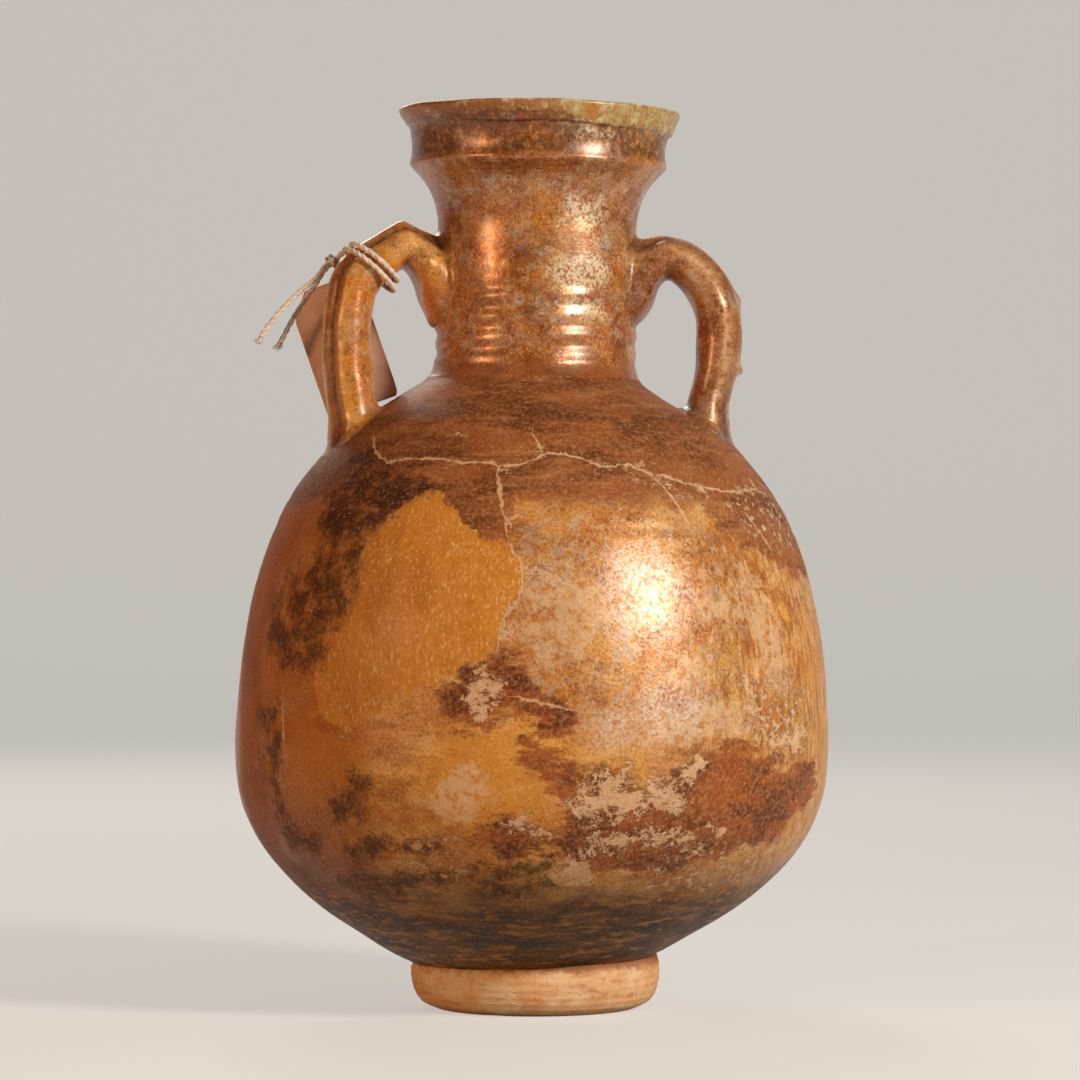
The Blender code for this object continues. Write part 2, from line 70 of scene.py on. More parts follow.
# Thrown pot. Body and neck are red earthenware thrown on a wheel and luted at the foot of the neck;
# the kiln let them settle a little to one side. Both pieces are one skin here, so no joint shows.
TOTAL_HEIGHT = 0.2793
BODY_BOTTOM = 0.008
BELLY_HEIGHT = 0.080
BELLY_RADIUS = 0.0923
JOINT_HEIGHT = 0.196
JOINT_RADIUS = 0.0337
SPRING_HEIGHT = 0.2456
NECK_RADIUS = 0.0308
MOUTH_RADIUS = 0.0439
WALL = 0.005
FLOOR = 0.008
BODY_LEAN = np.radians(0.5)
NECK_LEAN = np.radians(0.8)
BOTTOM_SLIP = 0.0035
LOWER_BODY_SHARES = (
    (0.0, 0.0), (0.26, 0.035), (0.457, 0.132), (0.571, 0.219), (0.684, 0.310),
    (0.803, 0.436), (0.918, 0.610), (0.978, 0.783), (1.0, 1.0),
)
SHOULDER_SHARES = (
    (0.990, 0.134), (0.944, 0.350), (0.866, 0.512), (0.726, 0.673), (0.564, 0.781),
    (0.392, 0.871), (0.216, 0.928), (0.095, 0.967), (0.0, 1.0),
)
NECK_SHARES = ((0.44, 0.055), (0.06, 0.119), (0.0, 0.20), (0.06, 0.585), (0.12, 0.85), (0.03, 1.0))
MOUTH_SHARES = (
    (0.053, 0.085), (0.130, 0.168), (0.222, 0.246), (0.340, 0.322), (0.500, 0.397), (0.640, 0.452),
    (0.705, 0.482), (0.714, 0.498), (0.698, 0.528), (0.677, 0.590), (0.684, 0.685), (0.726, 0.755),
    (0.763, 0.783), (0.812, 0.792), (0.838, 0.812), (0.885, 0.858), (0.935, 0.905), (0.978, 0.948),
    (1.0, 0.978), (0.982, 0.997), (0.90, 1.0), (0.80, 0.995), (0.718, 0.965), (0.588, 0.869),
    (0.320, 0.680), (0.015, 0.477),
)
POT_SEGMENTS = 360
BODY_RINGS = 215
NECK_RINGS = 70
MOUTH_RINGS = 130
INNER_RINGS = 44
BORE_RINGS = 20


class Curve:
    """A smooth line through points, read by the length of the straight runs between them."""

    def __init__(self, points):
        self.points = np.array(points, float)
        steps = np.diff(self.points, axis=0)
        runs = np.linalg.norm(steps, axis=1)
        self.reach = np.concatenate(([0.0], np.cumsum(runs)))
        self.length = self.reach[-1]
        slopes = steps / runs[:, None]
        before, after = runs[:-1, None], runs[1:, None]
        blended = (slopes[:-1] * after + slopes[1:] * before) / (before + after)
        self.slopes = np.vstack((slopes[:1], blended, slopes[-1:]))

    def at(self, distances):
        """The points at some distances along the line."""
        distances = np.atleast_1d(distances)
        last = len(self.points) - 2
        index = np.clip(np.searchsorted(self.reach, distances, side="right") - 1, 0, last)
        run = (self.reach[index + 1] - self.reach[index])[:, None]
        share = (distances - self.reach[index])[:, None] / run
        square, cube = share ** 2, share ** 3
        return (
            self.points[index] * (2 * cube - 3 * square + 1)
            + self.slopes[index] * run * (cube - 2 * square + share)
            + self.points[index + 1] * (3 * square - 2 * cube)
            + self.slopes[index + 1] * run * (cube - square)
        )

    def spread(self, count, start=0.0, end=None):
        return self.at(np.linspace(start, self.length if end is None else end, count + 1))


def between(low, high, share):
    return low + (high - low) * share


def smooth(low, high, values):
    """A soft step from 0 at low to 1 at high."""
    share = np.clip((values - low) / (high - low), 0, 1)
    return share * share * (3 - 2 * share)


def stations(shares, low_radius, high_radius, low, high):
    return [(between(low_radius, high_radius, out), between(low, high, up)) for out, up in shares]


body_stations = stations(LOWER_BODY_SHARES, 0, BELLY_RADIUS, BODY_BOTTOM, BELLY_HEIGHT)
body_stations += stations(SHOULDER_SHARES, JOINT_RADIUS, BELLY_RADIUS, BELLY_HEIGHT, JOINT_HEIGHT)
neck_stations = stations(NECK_SHARES, NECK_RADIUS, JOINT_RADIUS, JOINT_HEIGHT, SPRING_HEIGHT)
mouth_stations = stations(MOUTH_SHARES, NECK_RADIUS, MOUTH_RADIUS, SPRING_HEIGHT, TOTAL_HEIGHT)
pot_curve = Curve(body_stations + neck_stations)
joint_at = pot_curve.reach[len(body_stations) - 1]
body_outline = pot_curve.spread(BODY_RINGS, end=joint_at)
neck_outline = pot_curve.spread(NECK_RINGS, start=joint_at)
mouth_outline = Curve([neck_outline[-1]] + mouth_stations).spread(MOUTH_RINGS)
outer_outline = np.vstack((body_outline, neck_outline[1:], mouth_outline[1:]))


def unit(vectors):
    return vectors / np.linalg.norm(vectors, axis=-1, keepdims=True)


def wrapped(angle):
    """An angle brought to within half a turn of zero."""
    return (angle + np.pi) % (2 * np.pi) - np.pi


def outward_of(outline):
    """The way out of the clay at each point of an outline that runs from the bottom up."""
    along = unit(np.gradient(outline, axis=0))
    return np.column_stack((along[:, 1], -along[:, 0]))


def settled(points):
    """Where points of the upright pot lie after the kiln."""
    x, y, z = points[..., 0], points[..., 1], points[..., 2]
    above_joint = np.maximum(z - JOINT_HEIGHT, 0)
    below_belly = np.maximum(BELLY_HEIGHT - z, 0)
    neck_height = TOTAL_HEIGHT - JOINT_HEIGHT
    shift = np.tan(BODY_LEAN) * (z - BELLY_HEIGHT)
    shift += np.tan(NECK_LEAN) * above_joint ** 2 / (2 * neck_height)
    shift -= BOTTOM_SLIP * (below_belly / BELLY_HEIGHT) ** 2
    tip = BODY_LEAN + NECK_LEAN * above_joint / neck_height
    return np.stack((x + shift, y, z - x * np.sin(tip)), axis=-1)


# What the thrower's hands left: a spiral of ridges up the neck, finer wheel lines, soft dents, a
# lip that isn't quite level and a shoulder that sagged on the right
RIDGE_COUNT = 4
RIDGE_PITCH = 0.0062
RIDGE_DEPTH = 0.00055
FIRST_RIDGE = 0.1988
SWELL_HEIGHTS = (0.2293, 0.2470)
SWELL_DEPTH = 0.00035
SWELL_SPREAD = 0.0034
SCORED_HEIGHTS = (0.1580, 0.1492)
SCORED_DEPTH = 0.00018
SCORED_SPREAD = 0.0011
WHEEL_PITCH = 0.0013
WHEEL_DEPTH = 0.00005
DENT_DEPTH = 0.0003
SAG_DEPTH = 0.0019
SAG_AZIMUTH = np.radians(92)
SAG_WIDTH = np.radians(34)
SAG_HEIGHT = 0.1915
SAG_SPREAD = 0.0085
LIP_WAVE = 0.00035
LIP_THINNING = 0.0019
LIP_UNDERSIDE = 0.2724
LIP_FADE = 0.0032


def relief(azimuth, height):
    """How far the skin stands out from its turned outline, by azimuth and upright height."""
    turns = (height - FIRST_RIDGE) / RIDGE_PITCH
    on_neck = smooth(-0.2, 0.5, turns) * smooth(RIDGE_COUNT + 0.8, RIDGE_COUNT - 0.5, turns)
    ridges = RIDGE_DEPTH * on_neck * (1 - np.cos(2 * np.pi * turns - azimuth)) / 2
    for place in SWELL_HEIGHTS:
        ridges = ridges + SWELL_DEPTH * np.exp(-((height - place) / SWELL_SPREAD) ** 2)
    for place in SCORED_HEIGHTS:
        ridges = ridges - SCORED_DEPTH * np.exp(-((height - place) / SCORED_SPREAD) ** 2)
    wheel = WHEEL_DEPTH * np.sin(2 * np.pi * height / WHEEL_PITCH - azimuth)
    wheel *= 0.5 + 0.5 * np.sin(height / 0.009 + 0.6 * np.sin(azimuth * 2))
    dents = DENT_DEPTH * (
        0.5 * np.sin(2 * azimuth + height / 0.021 + 1.3)
        + 0.35 * np.sin(3 * azimuth - height / 0.013)
        + 0.25 * np.sin(5 * azimuth + height / 0.008 + 0.4)
        + 0.15 * np.sin(9 * azimuth - height / 0.0053 + 2.0)
    )
    turn = wrapped(azimuth - SAG_AZIMUTH)
    sag = np.exp(-(turn / SAG_WIDTH) ** 2 - ((height - SAG_HEIGHT) / SAG_SPREAD) ** 2)
    return ridges + wheel + dents - SAG_DEPTH * sag


def lip_lift(azimuth, height):
    """How the rim rises and falls round the mouth, and how its band thins out on the left."""
    wave = 0.6 * np.sin(azimuth + 0.4) + 0.3 * np.sin(4 * azimuth + 1.1) + 0.2 * np.sin(11 * azimuth)
    lift = LIP_WAVE * wave * smooth(SPRING_HEIGHT, TOTAL_HEIGHT, height)
    thin = (0.5 - 0.5 * np.sin(azimuth + 0.3)) + 0.12 * np.sin(7 * azimuth + 0.5)
    return lift + LIP_THINNING * thin * np.exp(-((height - LIP_UNDERSIDE) / LIP_FADE) ** 2)


def spun(outline, depth=None):
    """Rings of points on the wheel's axis, with the relief put on where a depth is given."""
    azimuth = np.linspace(-np.pi, np.pi, POT_SEGMENTS, endpoint=False)[None, :]
    radius, height = outline[:, :1], outline[:, 1:]
    if depth is not None:
        outward = outward_of(outline)
        stand = relief(azimuth, height) * depth[:, None]
        radius = radius + outward[:, :1] * stand
        height = height + outward[:, 1:] * stand
    height = height + lip_lift(azimuth, height)
    radius = radius + 0 * azimuth
    upright = np.stack((radius * np.sin(azimuth), -radius * np.cos(azimuth), height + 0 * azimuth), axis=-1)
    return settled(upright)


def ring_faces(rings, segments, start=0, looped=False):
    """Quads between neighbouring rings of points, and from the last to the first where looped."""
    faces = []
    for ring in range(rings if looped else rings - 1):
        low = start + ring * segments
        high = start + (ring + 1) % rings * segments
        for side in range(segments):
            other = (side + 1) % segments
            faces.append((low + side, low + other, high + other, high + side))
    return faces


def made_piece(name, points, faces, body, replaced, normals=None):
    """A smooth mesh that rides on a body and stands for CAD nodes."""
    mesh = bpy.data.meshes.new(name)
    mesh.from_pydata([tuple(point) for point in points], [], faces)
    mesh.shade_smooth()
    if normals is not None:
        mesh.normals_split_custom_set_from_vertices([tuple(normal) for normal in normals])
    piece = bpy.data.objects.new(name, mesh)
    bpy.context.scene.collection.objects.link(piece)
    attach(piece, body)
    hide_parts(*replaced)
    return piece


def set_shares(piece, **values):
    """Stores one number for each point of a mesh, for its material to read."""
    for name, numbers in values.items():
        layer = piece.data.attributes.new(name, "FLOAT", "POINT")
        layer.data.foreach_set("value", np.asarray(numbers, np.float32).ravel())


below = np.maximum(BELLY_HEIGHT - outer_outline[:, 1], 0) / (BELLY_HEIGHT - BODY_BOTTOM)
wall = between(WALL, FLOOR, below ** 2)[:, None]
body_inside = (body_outline - outward_of(body_outline) * wall[:BODY_RINGS + 1])[::-1]
body_inside = body_inside[np.linspace(0, BODY_RINGS, INNER_RINGS).astype(int)]
body_inside[:, 0] = np.maximum(body_inside[:, 0], 0)
bore = (neck_outline - outward_of(neck_outline) * WALL)[::-1]
bore = bore[np.linspace(0, NECK_RINGS, BORE_RINGS).astype(int)]
whole_outline = np.vstack((outer_outline, bore, body_inside[1:]))
outer_count = len(outer_outline)
depth = np.ones(outer_count)
depth *= 1 - smooth(SPRING_HEIGHT, TOTAL_HEIGHT, outer_outline[:, 1]) * 0.6
depth[BODY_RINGS + NECK_RINGS + MOUTH_RINGS // 2:] *= 0.5
pot_rings = np.concatenate((spun(outer_outline, depth), spun(whole_outline[outer_count:])))
pot_points = pot_rings.reshape(-1, 3)
pot_faces = ring_faces(len(whole_outline), POT_SEGMENTS)

whole = bpy.data.meshes.new("whole_pot")
whole.from_pydata([tuple(point) for point in pot_points], [], pot_faces)
pot_normals = np.zeros(len(pot_points) * 3, np.float32)
whole.vertex_normals.foreach_get("vector", pot_normals)
pot_normals = pot_normals.reshape(-1, 3)
bpy.data.meshes.remove(whole)


def pot_piece(name, spans, node_name):
    """The piece of the pot between the rings that spans names, closed where it meets the other."""
    rings = np.concatenate([np.arange(first, last + 1) for first, last in spans])
    points = pot_rings[rings].reshape(-1, 3)
    normals = pot_normals.reshape(-1, POT_SEGMENTS, 3)[rings].reshape(-1, 3)
    faces = ring_faces(len(rings), POT_SEGMENTS, looped=len(spans) == 1)
    return made_piece(name, points, faces, "vase", [node_name], normals), rings


bore_end = outer_count + BORE_RINGS - 1
glazed_body, body_rings = pot_piece(
    "glazed_body", ((0, BODY_RINGS), (bore_end, len(whole_outline) - 1)), "body"
)
glazed_neck, neck_rings = pot_piece("glazed_neck", ((BODY_RINGS, bore_end),), "neck")

# Where the skin's points lie: azimuth, distance up the outline and radius, for placing its marks
skin_azimuth = np.tile(np.linspace(-np.pi, np.pi, POT_SEGMENTS, endpoint=False), (outer_count, 1))
outline_steps = np.linalg.norm(np.diff(outer_outline, axis=0), axis=1)
skin_climb = np.tile(np.concatenate(([0], np.cumsum(outline_steps)))[:, None], (1, POT_SEGMENTS))
skin_radius = np.tile(outer_outline[:, :1], (1, POT_SEGMENTS))
skin_seen = seen_at(pot_rings[:outer_count].reshape(-1, 3))
skin_front = np.abs(skin_azimuth.ravel()) < np.radians(86)


def on_skin(spots_px):
    """Azimuth and climb of the places on the front that the photograph shows at some pixels."""
    places = []
    for spot in spots_px:
        away = np.linalg.norm(skin_seen - np.array(spot), axis=1)
        away[~skin_front] = np.inf
        nearest = int(np.argmin(away))
        places.append((skin_azimuth.ravel()[nearest], skin_climb.ravel()[nearest]))
    return places


def mark_distance(spots_px, closed, turn=0.0, flip=1):
    """Distance in mm from a mark's edge, positive inside a closed one and on a line's left."""
    places = [(flip * azimuth + turn, climb) for azimuth, climb in on_skin(spots_px)]
    pairs = list(zip(places, places[1:] + places[:1] if closed else places[1:]))
    nearest = np.full(skin_azimuth.shape, np.inf)
    side = np.ones(skin_azimuth.shape)
    inside = np.zeros(skin_azimuth.shape, bool)
    middle = np.mean([azimuth for azimuth, _ in places])
    own = wrapped(skin_azimuth - middle) + middle
    for (start, low), (end, high) in pairs:
        x0, y0 = (start - own) * skin_radius, low - skin_climb
        x1, y1 = (end - own) * skin_radius, high - skin_climb
        dx, dy = x1 - x0, y1 - y0
        share = np.clip(-(x0 * dx + y0 * dy) / np.maximum(dx * dx + dy * dy, 1e-12), 0, 1)
        away = np.hypot(x0 + share * dx, y0 + share * dy)
        closer = away < nearest
        nearest = np.where(closer, away, nearest)
        side = np.where(closer, np.where(x0 * dy - y0 * dx > 0, 1, -1), side)
        crosses = (y0 > 0) != (y1 > 0)
        inside ^= crosses & (x0 - y0 * dx / np.where(np.abs(dy) < 1e-12, 1e-12, dy) > 0)
    if closed:
        side = np.where(inside, 1, -1)
    return 1000 * side * nearest


# Marks on the glaze, as outlines in the photograph's pixels, with painted highlights and painted shade
# among them.
# Each is repeated once on the back, mirrored and turned by its own angle, because the photograph doesn't
# show that side
RESTORED_PX = (
    (433, 493), (441, 494), (446, 504), (456, 515), (470, 529), (485, 540), (506, 538), (512, 553),
    (523, 566), (521, 582), (512, 602), (503, 618), (500, 640), (486, 655), (466, 662), (440, 682),
    (412, 694), (395, 700), (372, 716), (352, 727), (330, 722), (318, 705), (312, 680), (322, 655),
    (330, 638), (347, 619), (355, 600), (362, 580), (362, 561), (368, 542), (382, 529), (397, 521),
    (401, 512), (418, 494),
)
# The flank outline runs down the pot's left edge, away from the key lamp: the browns laid in it are partly
# the glaze's own and partly painted shade
FLANK_PX = (
    (332, 428), (345, 450), (318, 495), (298, 545), (280, 585), (268, 640), (261, 700), (261, 760),
    (268, 810), (285, 855), (325, 885), (365, 908), (410, 930), (380, 938), (330, 912), (280, 868),
    (246, 812), (240, 740), (243, 660), (252, 600), (272, 530), (300, 478),
)
MOTTLE_PX = (
    (
        (366, 440), (390, 462), (425, 470), (440, 488), (418, 494), (400, 511), (380, 529), (367, 542),
        (360, 565), (357, 590), (345, 615), (330, 640), (318, 665), (300, 668), (281, 662), (272, 640),
        (276, 600), (290, 575), (310, 560), (322, 540), (318, 525), (328, 505), (345, 480), (352, 455),
    ),
    (
        (264, 706), (281, 700), (284, 735), (281, 772), (284, 800), (296, 826), (315, 838), (310, 852),
        (292, 848), (276, 822), (266, 780), (263, 740),
    ),
    ((332, 802), (352, 778), (372, 775), (376, 785), (366, 800), (368, 820), (355, 826), (338, 815)),
    ((347, 846), (375, 836), (420, 838), (438, 846), (430, 856), (390, 858), (360, 856)),
    ((329, 872), (352, 876), (395, 872), (455, 868), (459, 880), (420, 892), (370, 896), (345, 890)),
    ((470, 868), (520, 858), (548, 866), (556, 886), (520, 896), (480, 890)),
)
RUSSET_PX = (
    (
        (460, 665), (480, 662), (500, 664), (524, 672), (560, 690), (574, 712), (572, 728), (548, 731),
        (520, 722), (500, 724), (466, 725), (455, 712), (444, 706), (446, 692), (458, 684),
    ),
    (
        (522, 736), (545, 742), (565, 760), (592, 774), (640, 790), (690, 758), (730, 745), (770, 760),
        (812, 762), (816, 778), (804, 805), (780, 832), (740, 850), (700, 862), (650, 868), (600, 866),
        (560, 862), (534, 850), (528, 838), (556, 828), (546, 800), (530, 770),
    ),
    ((498, 820), (540, 838), (560, 852), (540, 862), (505, 856), (490, 838)),
)
BAND_PX = (
    (
        (322, 470), (345, 440), (420, 425), (510, 440), (513, 553), (485, 541), (470, 530), (456, 516),
        (446, 504), (440, 494), (430, 490), (418, 494), (400, 511), (380, 524), (362, 536), (345, 540),
        (330, 520),
    ),
    (
        (690, 465), (740, 465), (778, 498), (800, 545), (808, 578), (792, 574), (768, 558), (740, 542),
        (716, 522), (700, 500),
    ),
)
CHIPS_PX = (
    (
        (484, 665), (490, 672), (498, 680), (500, 692), (492, 700), (496, 714), (488, 724), (474, 722),
        (470, 708), (468, 694), (474, 684), (480, 676),
    ),
    (
        (590, 790), (601, 768), (612, 776), (618, 765), (627, 765), (630, 778), (643, 784), (653, 776),
        (672, 782), (681, 772), (700, 754), (705, 761), (690, 778), (674, 790), (690, 796), (696, 806),
        (662, 811), (650, 806), (640, 818), (622, 822), (604, 816), (590, 824), (572, 812), (566, 800),
    ),
    (
        (598, 846), (612, 838), (634, 836), (662, 828), (694, 834), (684, 843), (657, 846), (640, 842),
        (610, 850),
    ),
    ((712, 826), (727, 830), (714, 836)),
    ((556, 866), (572, 858), (590, 866), (600, 876), (586, 888), (570, 880), (556, 878)),
    ((584, 849), (596, 832), (600, 842), (592, 856), (578, 862)),
    ((530, 566), (546, 567), (558, 578), (568, 585), (560, 590), (543, 584), (531, 576)),
    ((514, 604), (522, 600), (518, 618), (508, 636), (503, 640), (506, 622)),
    ((742, 680), (752, 682), (757, 702), (764, 722), (758, 728), (749, 712), (745, 698)),
    ((768, 742), (780, 732), (806, 724), (800, 752), (790, 745), (778, 750)),
    ((500, 822), (530, 818), (548, 826), (552, 834), (540, 838), (520, 833)),
    ((706, 655), (716, 652), (724, 660), (714, 664)),
)
FLAKES_PX = (
    ((728, 484), (752, 480), (772, 494), (787, 520), (788, 546), (760, 549), (740, 530), (733, 508)),
    ((738, 676), (775, 672), (812, 690), (814, 745), (790, 762), (758, 752), (744, 720)),
    ((640, 850), (700, 842), (752, 838), (760, 862), (716, 884), (650, 890)),
    ((398, 848), (450, 838), (466, 866), (452, 884), (410, 872)),
    ((604, 466), (632, 462), (660, 476), (704, 488), (700, 498), (660, 492), (640, 480)),
)
# Pale patches of glaze. The first, beside the belly's highlight, is partly a pale stain and partly painted
# light, the glow round that highlight
PALE_PX = (
    ((530, 590), (566, 574), (600, 578), (606, 620), (590, 650), (556, 668), (530, 660), (516, 632)),
    ((436, 796), (444, 770), (464, 760), (484, 770), (486, 812), (472, 824), (448, 818)),
    ((700, 602), (722, 594), (746, 603), (742, 615), (712, 616)),
    ((672, 655), (692, 648), (700, 668), (690, 684), (675, 680)),
    ((736, 560), (752, 566), (770, 600), (782, 640), (790, 690), (772, 690), (756, 650), (744, 610)),
    ((640, 720), (700, 700), (742, 706), (752, 726), (700, 740), (648, 744)),
)
CRACKS_PX = (
    (
        (374, 437), (378, 452), (387, 463), (403, 460), (412, 458), (437, 460), (462, 461), (489, 462),
        (497, 466), (508, 466), (527, 462), (546, 455), (560, 453), (576, 458), (605, 467), (629, 465),
        (649, 475), (659, 485), (672, 497), (680, 508), (686, 522),
    ),
    (
        (497, 466), (500, 485), (504, 504), (506, 523), (508, 542), (512, 554), (523, 562), (523, 584),
        (516, 600), (506, 615), (502, 638),
    ),
    ((536, 435), (542, 449), (546, 455)),
    ((506, 523), (516, 517), (520, 512)),
    ((649, 475), (668, 478), (690, 486), (728, 492), (756, 488)),
    ((282, 700), (285, 725), (282, 748)),
    ((752, 520), (764, 536), (770, 548)),
    ((752, 682), (753, 700), (757, 720), (768, 742)),
    ((664, 790), (682, 776), (700, 758)),
    ((520, 700), (545, 703), (566, 706)),
)
OCHRE_PX = (
    (
        (446, 735), (500, 728), (540, 738), (552, 770), (546, 812), (520, 826), (480, 832), (440, 822),
        (425, 790), (432, 755),
    ),
    (
        (806, 560), (822, 620), (829, 700), (829, 780), (812, 832), (794, 846), (800, 780), (805, 700),
        (802, 620),
    ),
    ((300, 720), (345, 735), (372, 760), (350, 775), (330, 800), (300, 815), (290, 780)),
)
# The lustre outline lies round the key lamp's highlight on the belly: the film's flecks laid there are
# partly the glaze's own decay and partly painted highlight sparkle
LUSTRE_PX = (
    (
        (520, 505), (600, 498), (690, 505), (742, 560), (748, 640), (722, 715), (652, 742), (590, 722),
        (540, 690), (515, 600),
    ),
)
# Painted highlights: pale patches where the lamps' highlights fall on the belly, the neck and the collar
# under the lip
PAINTED_HIGHLIGHT_PX = (
    (
        (612, 556), (640, 548), (672, 556), (684, 584), (682, 616), (664, 640), (634, 644), (610, 622),
        (602, 588),
    ),
    ((646, 690), (684, 680), (704, 700), (692, 722), (660, 730), (640, 716)),
    ((598, 722), (622, 716), (630, 736), (618, 756), (600, 748)),
    ((566, 200), (586, 196), (602, 206), (600, 224), (582, 230), (564, 220)),
    ((548, 268), (566, 256), (596, 256), (610, 266), (604, 286), (574, 290), (552, 284)),
    ((566, 300), (600, 300), (602, 316), (570, 318)),
    ((574, 140), (584, 132), (600, 130), (612, 138), (612, 152), (598, 158), (580, 156)),
)
BACK_DEGREES = {
    "restored": 200, "flank": 176, "mottle": 168, "russet": 187, "chips": 176, "flakes": 160, "pale": 195,
    "ochre": 183, "lustre": 172, "pearl": 172, "low_band": 180, "crack": 190,
}
OUTLINES_PX = {
    "restored": (RESTORED_PX,), "flank": (FLANK_PX,), "mottle": MOTTLE_PX, "russet": RUSSET_PX,
    "chips": CHIPS_PX, "flakes": FLAKES_PX, "pale": PALE_PX, "ochre": OCHRE_PX, "lustre": LUSTRE_PX,
    "pearl": PAINTED_HIGHLIGHT_PX, "low_band": BAND_PX, "crack": CRACKS_PX,
}
FAR_OUTSIDE_MM = -30.0
inner_count = len(whole_outline) - outer_count
pot_marks = {}
for name, outlines in OUTLINES_PX.items():
    closed = name != "crack"
    turn = np.radians(BACK_DEGREES[name])
    layers = [mark_distance(outline, closed) for outline in outlines]
    layers += [mark_distance(outline, closed, turn, -1) for outline in outlines]
    layers = np.array(layers)
    picked = np.argmax(layers, axis=0) if closed else np.argmin(np.abs(layers), axis=0)
    outer_marks = np.take_along_axis(layers, picked[None], axis=0)[0]
    pot_marks[name] = np.vstack((outer_marks, np.full((inner_count, POT_SEGMENTS), FAR_OUTSIDE_MM)))
inside_share = np.repeat([0.0, 1.0], [outer_count, inner_count])
pot_marks["inside"] = np.tile(inside_share[:, None], (1, POT_SEGMENTS))
pot_marks["upright"] = np.tile(1000 * whole_outline[:, 1:], (1, POT_SEGMENTS))
for piece, rings in ((glazed_body, body_rings), (glazed_neck, neck_rings)):
    set_shares(piece, **{name: values[rings] for name, values in pot_marks.items()})


# Lead glaze, poured over red earthenware and fired twice. It pooled amber and gold, burnt to russet
# and brown, and its worn top scatters light in fine flecks of many colours, as old lustre does.
# Its decayed skin reflects less than sound glaze, which is left only as a thin clear coat.
AMBER = "#C27A32"
GOLD = "#DA9C48"
BURNT = "#924A12"
MILK = "#E6B880"
SPECK = "#4A2410"
CREAM = "#F3D8AC"
SPARK = "#D2702C"
IRIS = "#8C8AA0"
FILM = ("#6E3414", "#C66E2C", "#9C9A98", "#DDA452", "#CF8840", "#F2DDB6", "#A8A49C")
GLAZE_IOR = 1.36
GLAZE_ROUGHNESS = 0.32
COAT_ROUGHNESS = 0.26


def linear(code):
    """A linear colour from sRGB hex."""
    parts = [int(code[place:place + 2], 16) / 255 for place in (1, 3, 5)]
    return (*[part / 12.92 if part <= 0.04045 else ((part + 0.055) / 1.055) ** 2.4 for part in parts], 1)


def node(tree, kind, inputs=None, **settings):
    """Adds a node with its settings, and sets or links its inputs."""
    made = tree.nodes.new("ShaderNode" + kind)
    for name, value in settings.items():
        setattr(made, name, value)
    for key, value in (inputs or {}).items():
        if isinstance(value, bpy.types.NodeSocket):
            tree.links.new(value, made.inputs[key])
        else:
            made.inputs[key].default_value = value
    return made


